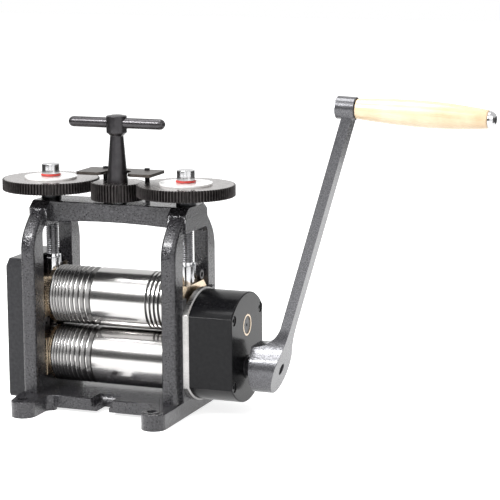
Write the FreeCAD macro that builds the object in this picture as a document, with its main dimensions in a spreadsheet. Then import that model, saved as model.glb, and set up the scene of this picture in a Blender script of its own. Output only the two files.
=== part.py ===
import FreeCAD, Part
import Sketcher
import math
import os
import re

V = FreeCAD.Vector
doc = FreeCAD.newDocument("RollingMill")

# Frame: X runs along the rolls (the crank is on the +X side), the work is fed along Y from the
# -Y side, Z is up and zero at the soles of the four feet. Lengths in mm.
SIZES = [
    # base and feet
    ("baseTop", 16.0),
    ("baseBottom", 3.5),
    ("baseHalfDepth", 54.0),
    ("baseHalf", 85.2),
    ("footLeft", 68.4),
    ("footRight", 72.3),
    ("footAlong", 81.5),
    ("footRadius", 12.6),
    ("footBlend", 7.0),
    ("boltAcross", 69.5),
    ("boltDistance", 81.0),
    ("boltHoleRadius", 5.0),
    ("notchStep", 8.0),
    ("notchBack", 32.0),
    ("slotBack", 35.0),
    # standards and crossbar
    ("legInner", 68.3),
    ("legOuter", 83.5),
    ("windowHalf", 32.3),
    ("windowBottom", 28.3),
    ("windowTop", 182.5),
    ("windowCorner", 9.0),
    ("frameTop", 206.5),
    ("topHalf", 18.6),
    ("archLow", 158.3),
    ("archRadius", 37.3),
    ("archEndAlong", 45.794590),
    ("archEndHeight", 181.640840),
    ("archTopRadius", 120.0),
    ("crossFront", 20.0),
    ("crossRear", 24.5),
    ("crossBottom", 185.0),
    ("crossRise", 3.0),
    ("crossHalf", 72.0),
    ("crossRadius", 865.0),
    ("bossHalf", 28.0),
    ("bossBottom", 179.0),
    ("bossOuter", 85.0),
    # rolls and their bearing blocks
    ("rollRadius", 29.5),
    ("rollHalf", 64.8),
    ("lowerAxis", 48.5),
    ("axisGap", 60.0),
    ("journalRadius", 14.0),
    ("blockBore", 14.05),
    ("blockHalf", 20.2),
    ("blockInner", 65.1),
    ("blockOuter", 83.2),
    ("blockSide", 32.25),
    ("flangeRadius", 31.3),
    ("flangeHigh", 29.3),
    ("flangeFlat", 11.01),
    ("blockCorner", 12.0),
    ("seatDepth", 2.0),
    ("springSeatRadius", 4.2),
    ("springRadius", 2.9),
    ("springWire", 0.6),
    ("springTurns", 8.0),
    # adjusting screws, their gears and dials
    ("screwAcross", 74.0),
    ("threadRadius", 6.5),
    ("nutBore", 6.56),
    ("nutRadius", 8.5),
    ("nutFlangeRadius", 10.1),
    ("nutBottom", 184.0),
    ("nutFlangeTop", 214.0),
    ("capRadius", 7.1),
    ("capTop", 145.7),
    ("capBottom", 126.8),
    ("neckRadius", 5.4),
    ("neckTop", 149.2),
    ("gearSeat", 7.0),
    ("gearBottom", 215.6),
    ("gearTop", 227.0),
    ("gearTeeth", 96.0),
    ("pinionTeeth", 52.0),
    ("dialRadius", 26.5),
    ("dialTop", 229.0),
    ("ringTop", 231.3),
    ("ringRadius", 1.15),
    ("ringSeat", 7.7),
    ("screwHead", 8.2),
    ("screwTop", 239.5),
    # lift hooks
    ("hookInner", 70.3),
    ("hookOuter", 78.3),
    ("stripThick", 1.6),
    ("hookFace", 8.6),
    ("hookLip", 5.8),
    ("hookTop", 148.0),
    ("hookFoot", 24.0),
    ("boltAlong", 18.6),
    ("boltHeight", 134.0),
    ("boltRadius", 3.5),
    # handle
    ("studRadius", 5.0),
    ("studTop", 250.0),
    ("handleBore", 5.05),
    ("spigotRadius", 8.0),
    ("pinionBottom", 208.6),
    ("pinionTop", 226.0),
    ("postFoot", 10.5),
    ("postWaist", 6.7),
    ("postWaistHeight", 272.2),
    ("hubRadius", 10.3),
    ("hubBottom", 275.6),
    ("hubTop", 291.6),
    ("hubCrown", 293.4),
    ("barHeight", 285.0),
    ("barRadius", 4.9),
    ("barHalf", 52.2),
    # index plate
    ("indexBottom", 233.2),
    ("indexTop", 236.2),
    ("indexHalf", 40.5),
    ("indexFront", 11.4),
    ("indexRear", 25.5),
    ("indexSlot", 13.5),
    ("standoffAcross", 23.0),
    ("standoffAlong", 21.0),
    # roll gears and their cover
    ("rollGearTeeth", 18.0),
    ("rollGearInner", 85.6),
    ("rollGearOuter", 97.5),
    ("rollEndRadius", 11.0),
    ("coverOuter", 105.0),
    ("coverHalf", 43.5),
    ("coverBottom", 7.0),
    ("coverTop", 149.0),
    ("coverWall", 2.5),
    ("coverStep", 4.5),
    ("coverScrewAlong", 38.5),
    # reduction gearbox
    ("shaftGap", 42.0),
    ("boxMiddle", 68.3),
    ("plateInner", 87.0),
    ("plateOuter", 93.0),
    ("plateHalf", 43.0),
    ("plateRadius", 56.4),
    ("plateCorner", 36.5),
    ("boxHalf", 42.0),
    ("boxRadius", 54.9),
    ("boxCorner", 35.36),
    ("boxOuter", 138.0),
    ("boxWall", 6.5),
    ("gearModule", 2.0),
    ("inputTeeth", 16.0),
    ("jackGearTeeth", 26.0),
    ("jackPinionTeeth", 13.0),
    ("outputTeeth", 29.0),
    ("slowInner", 95.5),
    ("slowOuter", 107.0),
    ("fastInner", 113.5),
    ("fastOuter", 124.5),
    ("boxScrewAlong", 35.2),
    ("boxScrewRise", 33.1),
    ("plateScrewAlong", 37.0),
    ("plateScrewRise", 18.0),
    ("inputRadius", 9.2),
    # crank and grip
    ("crankInner", 147.2),
    ("crankRadius", 24.0),
    ("crankFace", 173.6),
    ("armSlope", 0.2945),
    ("armAcross", 10.3),
    ("armFootHalf", 9.2),
    ("armTopHalf", 8.0),
    ("gripCentreX", 240.4),
    ("gripCentreZ", 307.8),
    ("gripTilt", 2.56),
    ("eyeRadius", 11.0),
    ("eyeHalf", 9.2),
    ("gripBoltRadius", 3.95),
    ("gripBore", 4.0),
    ("gripStart", 10.0),
    ("gripLength", 127.5),
]
CELLS = dict(SIZES)

sheet = doc.addObject("Spreadsheet::Sheet", "Sizes")
for row, (alias, amount) in enumerate(SIZES, start=1):
    sheet.set("A%d" % row, alias)
    sheet.set("B%d" % row, str(amount))
    sheet.setAlias("B%d" % row, alias)
doc.recompute()


# A size is written as a short formula of cells and numbers, such as "legOuter - legInner".
def number(text):
    total = 0.0
    for sign, term in re.findall(r"([+-]?)([\w.*/]+)", text.replace(" ", "")):
        product = 1.0
        for operator, factor in re.findall(r"([*/]?)([\w.]+)", term):
            amount = CELLS[factor] if factor in CELLS else float(factor)
            product = product / amount if operator == "/" else product * amount
        total += -product if sign == "-" else product
    return total


def formula(text):
    return re.sub(r"([A-Za-z]\w+)", r"Sizes.\1", text)


def new_body(label, x="0", y="0", z="0", tilt=0.0):
    body = doc.addObject("PartDesign::Body", label)
    body.Label = label
    body.Placement = FreeCAD.Placement(V(0, 0, 0), FreeCAD.Rotation(V(0, 1, 0), tilt))
    for letter, text in (("x", x), ("y", y), ("z", z)):
        body.setExpression("Placement.Base." + letter, formula(text))
    return body


def origin_item(body, role):
    return [item for item in body.Origin.OriginFeatures if item.Role == role][0]


def new_sketch(body, plane, offset="0"):
    sketch = body.newObject("Sketcher::SketchObject", body.Label + "_sketch")
    sketch.AttachmentSupport = [(origin_item(body, plane), "")]
    sketch.MapMode = "FlatFace"
    sketch.setExpression("AttachmentOffset.Base.z", formula(offset))
    return sketch


def signed(text, sign):
    return text if sign > 0 else "-(" + text + ")"


# A closed outline through corners (across, up) or (across, up, bend): a bend makes the stretch
# that arrives at the corner an arc of that radius, turning left when it is positive. The whole
# outline can be mirrored across or up.
def draw_outline(sketch, corners, across=1, up=1):
    places = [V(across * number(corner[0]), up * number(corner[1]), 0) for corner in corners]
    stretches = []
    for index, corner in enumerate(corners):
        start = places[index - 1]
        end = places[index]
        bend = across * up * number(corner[2]) if len(corner) == 3 else 0.0
        if bend == 0.0:
            line = sketch.addGeometry(Part.LineSegment(start, end))
            stretches.append((line, 1, 2))
            continue
        chord = end.sub(start)
        radius = abs(bend)
        reach = math.sqrt(max(radius * radius - chord.Length * chord.Length / 4.0, 0.0))
        left = V(-chord.y, chord.x, 0).normalize()
        centre = start.add(chord * 0.5).add(left * math.copysign(reach, bend))
        first, last = (start, end) if bend > 0 else (end, start)
        angles = [math.atan2(spot.y - centre.y, spot.x - centre.x) for spot in (first, last)]
        circle = Part.Circle(centre, V(0, 0, 1), radius)
        arc = sketch.addGeometry(Part.ArcOfCircle(circle, angles[0], angles[1]))
        stretches.append((arc, 1, 2) if bend > 0 else (arc, 2, 1))
        if reach > 0.05:
            held = sketch.addConstraint(Sketcher.Constraint("Radius", arc, radius))
            sketch.setExpression("Constraints[%d]" % held, formula(corner[2]).lstrip("-"))
    for index, corner in enumerate(corners):
        geometry, _, end_point = stretches[index]
        following, start_point, _ = stretches[(index + 1) % len(corners)]
        sketch.addConstraint(
            Sketcher.Constraint("Coincident", geometry, end_point, following, start_point))
        for kind, text, sign in (("DistanceX", corner[0], across), ("DistanceY", corner[1], up)):
            held = sketch.addConstraint(
                Sketcher.Constraint(kind, -1, 1, geometry, end_point, sign * number(text)))
            sketch.setExpression("Constraints[%d]" % held, formula(signed(text, sign)))


def draw_circle(sketch, across, up, radius):
    centre = V(number(across), number(up), 0)
    circle = sketch.addGeometry(Part.Circle(centre, V(0, 0, 1), number(radius)))
    held = sketch.addConstraint(Sketcher.Constraint("Radius", circle, number(radius)))
    sketch.setExpression("Constraints[%d]" % held, formula(radius))
    for kind, text in (("DistanceX", across), ("DistanceY", up)):
        held = sketch.addConstraint(Sketcher.Constraint(kind, -1, 1, circle, 3, number(text)))
        sketch.setExpression("Constraints[%d]" % held, formula(text))


def pad(body, sketch, length, middle=False, back=False):
    feature = body.newObject("PartDesign::Pad", body.Label + "_pad")
    feature.Profile = sketch
    feature.setExpression("Length", formula(length))
    feature.Midplane = middle
    feature.Reversed = back
    doc.recompute()
    return feature


def pocket(body, sketch, length, back=False):
    before = body.Shape.Volume
    feature = body.newObject("PartDesign::Pocket", body.Label + "_pocket")
    feature.Profile = sketch
    feature.setExpression("Length", formula(length))
    feature.Reversed = back
    doc.recompute()
    if body.Shape.Volume > before - 1.0:
        raise ValueError("a pocket of %s cuts nothing" % body.Label)
    return feature


# Round holes of one size, each at (across, up) on a plane, sunk along it by a length.
def drill(body, plane, offset, spots, radius, length, back=False):
    sketch = new_sketch(body, plane, offset)
    for across, up in spots:
        draw_circle(sketch, across, up, radius)
    return pocket(body, sketch, length, back)


# Round posts of one size standing on a plane.
def posts(body, plane, offset, spots, radius, length, back=False):
    sketch = new_sketch(body, plane, offset)
    for across, up in spots:
        draw_circle(sketch, across, up, radius)
    return pad(body, sketch, length, False, back)


# Six-sided sockets sunk into a plane.
def sockets(body, plane, offset, spots, half, length, back=False):
    sketch = new_sketch(body, plane, offset)
    for across, up in spots:
        wide = "%.3f" % (half * 2.0 / math.sqrt(3.0))
        slim = "%.3f" % (half / math.sqrt(3.0))
        tall = "%.3f" % half
        draw_outline(sketch, [(across + " + " + wide, up), (across + " + " + slim, up + " + " + tall),
                              (across + " - " + slim, up + " + " + tall),
                              (across + " - " + wide, up), (across + " - " + slim, up + " - " + tall),
                              (across + " + " + slim, up + " - " + tall)])
    return pocket(body, sketch, length, back)


def corners_of(across, up):
    return [(sx + across, sy + up) for sx in ("-", "") for sy in ("-", "")]


# A turned piece: its half section is an outline of (along, radius) corners about the X or Z axis.
def turn(body, axis, section):
    sketch = new_sketch(body, "XZ_Plane")
    if axis == "Z":
        section = [(corner[1], corner[0]) + tuple(corner[2:]) for corner in section]
    draw_outline(sketch, section)
    feature = body.newObject("PartDesign::Revolution", body.Label + "_turned")
    feature.Profile = sketch
    feature.ReferenceAxis = (origin_item(body, axis + "_Axis"), [""])
    feature.Angle = 360
    doc.recompute()
    return feature


def turned(label, axis, section, x="0", y="0", z="0", tilt=0.0):
    body = new_body(label, x, y, z, tilt)
    turn(body, axis, section)
    return body


def tube(start, end, inner, outer):
    return [(start, inner), (end, inner), (end, outer), (start, outer)]


# Straight flanks between points of the true involute: at radius r the tooth's half angle is the
# half angle at the pitch circle plus inv(20 deg) less inv(pressure angle at r).
def tooth_corners(module, teeth, tip, root, slack, flank_points):
    pitch = module * teeth / 2.0
    pressure = math.radians(20.0)
    base = pitch * math.cos(pressure)
    half_at_pitch = math.pi / (2.0 * teeth) - slack / (2.0 * pitch)
    flank = []
    for step in range(flank_points):
        radius = root + (tip - root) * step / (flank_points - 1)
        angle = math.acos(min(base / radius, 1.0))
        half = half_at_pitch + math.tan(pressure) - pressure - math.tan(angle) + angle
        flank.append((radius, half))
    buried = (root * 0.94, flank[0][1])
    rising = [buried] + flank
    return [(r, -half) for r, half in rising] + [(r, half) for r, half in reversed(rising)]


# Teeth round a body's own X or Z axis: one tooth is padded and repeated by a polar pattern.
# The first tooth points along +Z on an X axis and along +X on a Z axis, unless it starts half a
# pitch on, where the other gear of the pair has its tooth.
def add_teeth(body, axis, start, end, module, teeth_cell, addendum, dedendum, slack, points,
              half_pitch=False):
    teeth = int(CELLS[teeth_cell])
    pitch = module * teeth / 2.0
    turn_by = math.pi / teeth if half_pitch else 0.0
    plane = "YZ_Plane" if axis == "X" else "XY_Plane"
    sketch = new_sketch(body, plane, start)
    spots = []
    for radius, angle in tooth_corners(module, teeth, pitch + addendum, pitch - dedendum, slack,
                                       points):
        angle += turn_by + (math.pi / 2.0 if axis == "X" else 0.0)
        spots.append(V(radius * math.cos(angle), radius * math.sin(angle), 0))
    for index, spot in enumerate(spots):
        sketch.addGeometry(Part.LineSegment(spots[index - 1], spot))
    tooth = pad(body, sketch, end + " - " + start)
    pattern = body.newObject("PartDesign::PolarPattern", body.Label + "_teeth")
    pattern.Originals = [tooth]
    pattern.Axis = (origin_item(body, axis + "_Axis"), [""])
    pattern.Angle = 360
    pattern.setExpression("Occurrences", formula(teeth_cell))
    body.Tip = pattern
    doc.recompute()


nodes = []


def keep(*pieces):
    nodes.extend(pieces)


def rectangle(low, high, bottom, top):
    return [(high, bottom), (high, top), (low, top), (low, bottom)]


def block(body, plane, offset, outline, length, middle=False, back=False):
    sketch = new_sketch(body, plane, offset)
    draw_outline(sketch, outline)
    return pad(body, sketch, length, middle, back)


def cut(body, plane, offset, outline, length, back=False):
    sketch = new_sketch(body, plane, offset)
    draw_outline(sketch, outline)
    return pocket(body, sketch, length, back)


# Rounds or chamfers the edges of a body whose middle point answers a test.
def ease(body, kind, size, test):
    names = []
    for index, edge in enumerate(body.Shape.Edges, start=1):
        if test(edge.BoundBox.Center, edge.BoundBox):
            names.append("Edge%d" % index)
    if not names:
        raise ValueError("no edge of %s to ease" % body.Label)
    base = body.Tip
    feature = body.newObject("PartDesign::" + kind, body.Label + "_" + kind.lower())
    feature.Base = (base, names)
    setattr(feature, "Radius" if kind == "Fillet" else "Size", size)
    doc.recompute()


# ---- frame casting ----------------------------------------------------------------------------

STANDARD = [
    ("baseHalfDepth", "baseTop - 4"),
    ("baseHalfDepth", "archLow"),
    ("archEndAlong", "archEndHeight", "archRadius"),
    ("topHalf", "frameTop", "archTopRadius"),
    ("-topHalf", "frameTop"),
    ("-archEndAlong", "archEndHeight", "archTopRadius"),
    ("-baseHalfDepth", "archLow", "archRadius"),
    ("-baseHalfDepth", "baseTop - 4"),
]
WINDOW = [
    ("windowHalf", "windowBottom"),
    ("windowHalf", "windowTop - windowCorner"),
    ("windowHalf - windowCorner", "windowTop", "windowCorner"),
    ("-windowHalf + windowCorner", "windowTop"),
    ("-windowHalf", "windowTop - windowCorner", "windowCorner"),
    ("-windowHalf", "windowBottom"),
]
# A foot grows out of the base: round at its far end, blended into the front of the base.
def foot_outline(middle):
    inner = middle + " - footRadius"
    return [("baseHalf", "baseHalfDepth - 6"), ("baseHalf", "baseHalfDepth + 6"),
            (middle + " + footRadius", "footAlong"), (inner, "footAlong", "footRadius"),
            (inner, "baseHalfDepth + footBlend"),
            (inner + " - footBlend", "baseHalfDepth", "-footBlend"),
            (inner + " - footBlend", "baseHalfDepth - 6")]


CROSSBAR = [
    ("crossHalf", "crossBottom", "-crossRadius"),
    ("crossHalf", "frameTop"),
    ("-crossHalf", "frameTop"),
    ("-crossHalf", "crossBottom"),
    ("0", "crossBottom + crossRise", "-crossRadius"),
]
BOSS = [
    ("bossHalf", "bossBottom + 7", "7"),
    ("bossHalf", "frameTop"),
    ("-bossHalf", "frameTop"),
    ("-bossHalf", "bossBottom + 7"),
    ("-bossHalf + 7", "bossBottom", "7"),
    ("bossHalf - 7", "bossBottom"),
]


STANDOFFS = [("-standoffAcross", "standoffAlong"), ("standoffAcross", "standoffAlong")]
COVER_SCREWS = [("-coverScrewAlong", "22"), ("coverScrewAlong", "22"),
                ("-coverScrewAlong", "134"), ("coverScrewAlong", "134")]
PLATE_SCREWS = [(side + "plateScrewAlong", "boxMiddle" + rise + "plateScrewRise")
                for side in ("-", "") for rise in (" - ", " + ")]
BOX_SCREWS = [(side + "boxScrewAlong", "boxMiddle" + rise + "boxScrewRise")
              for side in ("-", "") for rise in (" - ", " + ")]


# Picks the upright edges of the standards on one face; the arch above is tangent and follows.
def on_arch_edge(face):
    return lambda at, box: (box.XLength < 0.01 and 18.0 < at.z < 180.0
                            and abs(abs(at.x) - number(face)) < 0.01)


def cast_frame():
    body = new_body("frame")
    block(body, "XZ_Plane", "crossFront", CROSSBAR, "crossFront + crossRear", False, True)
    for offset, back in (("legInner", False), ("-legInner", True)):
        block(body, "YZ_Plane", offset, STANDARD, "legOuter - legInner", False, back)
    ease(body, "Fillet", 4.5, on_arch_edge("legOuter"))
    ease(body, "Fillet", 3.5, on_arch_edge("legInner"))
    block(body, "XY_Plane", "baseBottom", rectangle("-baseHalf", "baseHalf", "-baseHalfDepth",
                                                    "baseHalfDepth"), "baseTop - baseBottom")
    feet = new_sketch(body, "XY_Plane")
    rails = new_sketch(body, "XY_Plane")
    for middle, across in (("footRight", 1), ("footLeft", -1)):
        draw_outline(feet, foot_outline(middle), across)
        draw_outline(feet, foot_outline(middle), across, -1)
        draw_outline(rails, rectangle(middle + " - footRadius", "baseHalf",
                                      "-baseHalfDepth + 3", "baseHalfDepth - 3"), across)
    pad(body, feet, "baseTop")
    pad(body, rails, "baseTop")
    rings = new_sketch(body, "XY_Plane", "baseTop - 1")
    for across, up in corners_of("boltAcross", "boltDistance"):
        draw_circle(rings, across, up, "boltHoleRadius + 3.4")
    pad(body, rings, "1.6")
    for offset, back in (("legInner - 2.3", False), ("-legInner + 2.3", True)):
        block(body, "YZ_Plane", offset, BOSS, "bossOuter - legInner + 2.3", False, back)
    block(body, "YZ_Plane", "legOuter - 2", rectangle("-boxHalf", "boxHalf", "baseTop",
                                                      "boxMiddle + plateRadius - 5"),
          "plateInner - legOuter + 2")
    cut(body, "YZ_Plane", "-100", WINDOW, "200", True)
    cut(body, "XY_Plane", "notchStep", rectangle("-8.5", "15.5", "-baseHalfDepth - 5",
                                                 "-notchBack"), "baseTop", True)
    cut(body, "XY_Plane", "-1", rectangle("-2", "11.3", "-baseHalfDepth - 5", "-slotBack"),
        "notchStep + 3", True)
    drill(body, "XY_Plane", "-1", corners_of("boltAcross", "boltDistance"), "boltHoleRadius",
          "baseTop + 5", True)
    across_pair = [("-screwAcross", "0"), ("screwAcross", "0")]
    drill(body, "XY_Plane", "frameTop", across_pair, "nutRadius", "frameTop - windowTop + 4")
    drill(body, "XY_Plane", "frameTop", [("0", "0")], "studRadius", "16")
    drill(body, "XY_Plane", "frameTop", STANDOFFS, "2", "10")
    drill(body, "YZ_Plane", "-legOuter", COVER_SCREWS, "2", "12", True)
    drill(body, "YZ_Plane", "plateInner", PLATE_SCREWS, "2", "13")
    return body


keep(cast_frame())


# ---- rolls and bearing blocks -----------------------------------------------------------------

# The block of one roll end, about its axis: a body in the standard's window and a flange inside.
def bearing_block(label, side, height, top_corner):
    body = new_body(label, "0", "0", height)
    sign = "" if side > 0 else "-"
    back = side < 0
    flat = [
        ("blockSide", "-blockHalf"),
        ("blockSide", "blockHalf - " + top_corner),
        ("blockSide - " + top_corner, "blockHalf"),
        ("-blockSide + " + top_corner, "blockHalf"),
        ("-blockSide", "blockHalf - " + top_corner),
        ("-blockSide", "-blockHalf"),
    ]
    block(body, "YZ_Plane", "legInner - 0.5" if side > 0 else "-legInner + 0.5", flat,
          "blockOuter - legInner + 0.5", False, back)
    flange = [("flangeFlat", "flangeHigh", "flangeRadius"), ("-flangeFlat", "flangeHigh"),
              ("-flangeFlat", "-flangeHigh", "flangeRadius"), ("flangeFlat", "-flangeHigh")]
    block(body, "YZ_Plane", sign + "blockInner", flange, "legInner - 0.05 - blockInner", False,
          back)
    return body


def shift(text, side):
    return text if side > 0 else "-" + text


def lower_block(label, side):
    body = bearing_block(label, side, "lowerAxis", "1.5")
    drill(body, "YZ_Plane", shift("blockInner", side), [("0", "0")], "blockBore", "25", side > 0)
    drill(body, "XY_Plane", "blockHalf", [(shift("screwAcross", side), "0")],
          "springSeatRadius", "seatDepth")
    return body


def upper_block(label, side):
    body = bearing_block(label, side, "lowerAxis + axisGap", "blockCorner")
    ear = [("23.6", "blockHalf - 9"), ("23.6", "blockHalf + 8"), ("21.6", "blockHalf + 10.3"),
           ("15.6", "blockHalf + 10.3"), ("13.6", "blockHalf + 8"), ("13.6", "blockHalf - 9")]
    block(body, "YZ_Plane", "blockInner + 1" if side > 0 else "-blockInner - 1", ear, "4", False,
          side < 0)
    drill(body, "YZ_Plane", shift("blockInner", side), [("0", "0")], "blockBore", "25", side > 0)
    drill(body, "YZ_Plane", shift("blockInner", side),
          [("boltAlong", "boltHeight - lowerAxis - axisGap")], "boltRadius", "6", side > 0)
    drill(body, "XY_Plane", "flangeHigh + 1", [(shift("screwAcross", side), "0")],
          "capRadius + 0.3", "flangeHigh + 1 - blockHalf + seatDepth")
    drill(body, "XY_Plane", "-blockHalf", [(shift("screwAcross", side), "0")],
          "springSeatRadius", "seatDepth", True)
    return body


# A coil of round wire: straight lengths of a five-sided wire between stations on a helix.
def coil_spring(label, across):
    wire = CELLS["springWire"]
    radius = CELLS["springRadius"]
    low = CELLS["lowerAxis"] + CELLS["blockHalf"] - CELLS["seatDepth"] + wire + 0.05
    rise = CELLS["axisGap"] - 2 * CELLS["blockHalf"] + 2 * (CELLS["seatDepth"] - wire) - 0.1
    stations = []
    around = 10
    total = int(CELLS["springTurns"] * around)
    for index in range(total + 1):
        angle = 2 * math.pi * index / around
        place = V(radius * math.cos(angle), radius * math.sin(angle), rise * index / total)
        outward = V(math.cos(angle), math.sin(angle), 0)
        ring = []
        for side in range(5):
            turned_by = 2 * math.pi * side / 5
            ring.append(place + outward * (wire * math.cos(turned_by))
                        + V(0, 0, wire * math.sin(turned_by)))
        stations.append(ring)
    faces = [Part.Face(Part.makePolygon(stations[0] + stations[0][:1])),
             Part.Face(Part.makePolygon(stations[-1] + stations[-1][:1]))]
    for one, two in zip(stations, stations[1:]):
        for side in range(5):
            near = (side + 1) % 5
            faces.append(Part.Face(Part.makePolygon([one[side], one[near], two[side], one[side]])))
            faces.append(Part.Face(Part.makePolygon([one[near], two[near], two[side],
                                                     one[near]])))
    solid = Part.Solid(Part.Shell(faces))
    if solid.Volume < 0:
        solid.reverse()
    spring = doc.addObject("Part::Feature", label)
    spring.Label = label
    spring.Shape = solid
    spring.Placement.Base = V(across, 0, low)
    return spring


GROOVES = [("-61.6", "1.2"), ("-58.6", "1.3"), ("-55.2", "1.4"), ("-51.8", "1.5"),
           ("-48.2", "1.6"), ("-44.2", "1.8"), ("-39.4", "2.0"), ("-34.0", "2.3"),
           ("-28.2", "2.6"), ("-21.8", "2.9")]
FINE_GROOVES = [("41.5", "1.3"), ("46.0", "1.3"), ("50.5", "1.3"), ("55.0", "1.3")]


# The barrel has vee grooves, each a half width across and as deep as it is half wide.
def roll_section(left_end, right_part, grooves):
    barrel = [("rollHalf", "rollRadius - 0.6"), ("rollHalf - 0.6", "rollRadius")]
    for centre, half in reversed(grooves):
        barrel.append((centre + " + " + half, "rollRadius"))
        barrel.append((centre, "rollRadius - " + half))
        barrel.append((centre + " - " + half, "rollRadius"))
    barrel += [("-rollHalf + 0.6", "rollRadius"), ("-rollHalf", "rollRadius - 0.6")]
    return right_part + barrel + left_end


LEFT_END = [("-rollHalf", "journalRadius"), ("-blockOuter - 0.4", "journalRadius"),
            ("-blockOuter - 0.4", "rollEndRadius"), ("-rollGearOuter - 0.5", "rollEndRadius"),
            ("-rollGearOuter - 0.5", "0")]


def flat_seat(body, start, end, radius):
    cut(body, "YZ_Plane", start, rectangle("-12", "12", radius + " - 1.5", radius + " + 2"),
        end + " - " + start, True)


def lower_roll():
    right = [("109", "0"), ("109", "10"), ("94.5", "10"), ("94.5", "12"),
             ("blockOuter + 0.4", "12"), ("blockOuter + 0.4", "journalRadius"),
             ("rollHalf", "journalRadius")]
    body = turned("roll_lower", "X", roll_section(LEFT_END, right, GROOVES), "0", "0",
                  "lowerAxis")
    drill(body, "YZ_Plane", "109", [("0", "0")], "5.05", "11")
    flat_seat(body, "slowInner", "109", "10")
    flat_seat(body, "-rollGearOuter - 0.5", "-rollGearInner", "rollEndRadius")
    return body


def upper_roll():
    right = [("blockOuter - 1", "0"), ("blockOuter - 1", "journalRadius - 1"),
             ("blockOuter - 2", "journalRadius"), ("rollHalf", "journalRadius")]
    body = turned("roll_upper", "X", roll_section(LEFT_END, right, GROOVES + FINE_GROOVES), "0",
                  "0", "lowerAxis + axisGap")
    flat_seat(body, "-rollGearOuter - 0.5", "-rollGearInner", "rollEndRadius")
    return body


def roll_gear(label, height, half_pitch):
    body = new_body(label, "0", "0", height)
    disc = new_sketch(body, "YZ_Plane", "-rollGearOuter")
    draw_circle(disc, "0", "0", "25.4")
    pad(body, disc, "rollGearOuter - rollGearInner")
    add_teeth(body, "X", "-rollGearOuter", "-rollGearInner", 60.0 / 18.0, "rollGearTeeth", 3.0,
              4.8, 0.5, 4, half_pitch)
    drill(body, "YZ_Plane", "-rollGearOuter - 1", [("0", "0")], "rollEndRadius", "20", True)
    return body


keep(lower_block("block_lower_left", -1), lower_block("block_lower_right", 1))
keep(upper_block("block_upper_left", -1), upper_block("block_upper_right", 1))
keep(coil_spring("spring_left", -CELLS["screwAcross"]),
     coil_spring("spring_right", CELLS["screwAcross"]))
keep(lower_roll(), upper_roll())
keep(roll_gear("roll_gear_lower", "lowerAxis", False))
keep(roll_gear("roll_gear_upper", "lowerAxis + axisGap", True))


# ---- adjusting screws -------------------------------------------------------------------------

def adjusting_screw(label, across):
    section = [("capBottom", "0"), ("capBottom", "capRadius - 0.8"),
               ("capBottom + 0.8", "capRadius"), ("capTop", "capRadius"),
               ("capTop", "neckRadius"), ("neckTop", "neckRadius"), ("neckTop", "threadRadius"),
               ("gearBottom - 0.4", "threadRadius"), ("gearBottom", "gearSeat"),
               ("dialTop", "gearSeat"), ("dialTop", "ringSeat"), ("ringTop", "ringSeat"),
               ("ringTop", "screwHead"), ("screwTop - 1.6", "screwHead"),
               ("screwTop", "screwHead - 1.6"), ("screwTop", "0")]
    return turned(label, "Z", section, across)


def screw_nut(label, across):
    section = [("nutBottom", "nutBore"), ("nutBottom", "nutRadius"), ("frameTop", "nutRadius"),
               ("frameTop", "nutFlangeRadius"), ("nutFlangeTop - 0.8", "nutFlangeRadius"),
               ("nutFlangeTop", "nutFlangeRadius - 0.8"), ("nutFlangeTop", "nutBore")]
    return turned(label, "Z", section, across)


# The gear that turns a screw has a gap where the pinion has a tooth.
def screw_gear(label, across):
    body = new_body(label, across)
    posts(body, "XY_Plane", "gearBottom", [("0", "0")], "gearTeeth / 2 - 1.2",
          "gearTop - gearBottom")
    add_teeth(body, "Z", "gearBottom", "gearTop", 1.0, "gearTeeth", 1.0, 1.25, 0.18, 3, True)
    drill(body, "XY_Plane", "gearTop", [("0", "0")], "gearSeat", "gearTop - gearBottom + 1")
    return body


def graduated_dial(label, across):
    section = [("gearTop", "gearSeat"), ("gearTop", "dialRadius"),
               ("dialTop - 0.5", "dialRadius"), ("dialTop", "dialRadius - 0.5"),
               ("dialTop", "gearSeat")]
    return turned(label, "Z", section, across)


def sealing_ring(label, across):
    ring = doc.addObject("Part::Torus", label)
    ring.Label = label
    ring.setExpression("Radius1", "Sizes.ringSeat + Sizes.ringRadius + 0.05")
    ring.setExpression("Radius2", "Sizes.ringRadius")
    ring.setExpression("Placement.Base.x", formula(across))
    ring.setExpression("Placement.Base.z", "Sizes.dialTop + Sizes.ringRadius")
    return ring


# A bent strip: its foot lies on the bearing block and its lip lies in the neck of the screw.
def lift_hook(label, side):
    body = new_body(label, "0", "0", "lowerAxis + axisGap + blockHalf")
    height = "hookTop - lowerAxis - axisGap - blockHalf"
    strip = [("hookFace", "0"), ("hookFoot", "0"), ("hookFoot", "stripThick"),
             ("hookFace + stripThick", "stripThick"), ("hookFace + stripThick", height),
             ("hookLip", height), ("hookLip", height + " - stripThick"),
             ("hookFace", height + " - stripThick")]
    block(body, "YZ_Plane", "hookInner" if side > 0 else "-hookInner", strip,
          "hookOuter - hookInner", False, side < 0)
    return body


def cross_bolt(label, side):
    body = new_body(label, "0", "boltAlong", "boltHeight")
    stretch = [("blockInner + 1", "0"), ("blockInner + 1", "boltRadius"),
               ("hookOuter + 0.1", "boltRadius"), ("hookOuter + 0.1", "5.2"),
               ("hookOuter + 3.4", "5.2"), ("hookOuter + 4", "4.6"), ("hookOuter + 4", "0")]
    sketch = new_sketch(body, "XZ_Plane")
    draw_outline(sketch, stretch, side)
    feature = body.newObject("PartDesign::Revolution", label + "_turned")
    feature.Profile = sketch
    feature.ReferenceAxis = (origin_item(body, "X_Axis"), [""])
    feature.Angle = 360
    doc.recompute()
    face = "hookOuter + 4" if side > 0 else "-hookOuter - 4"
    sockets(body, "YZ_Plane", face, [("0", "0")], 2.5, "2", side < 0)
    return body


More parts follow.
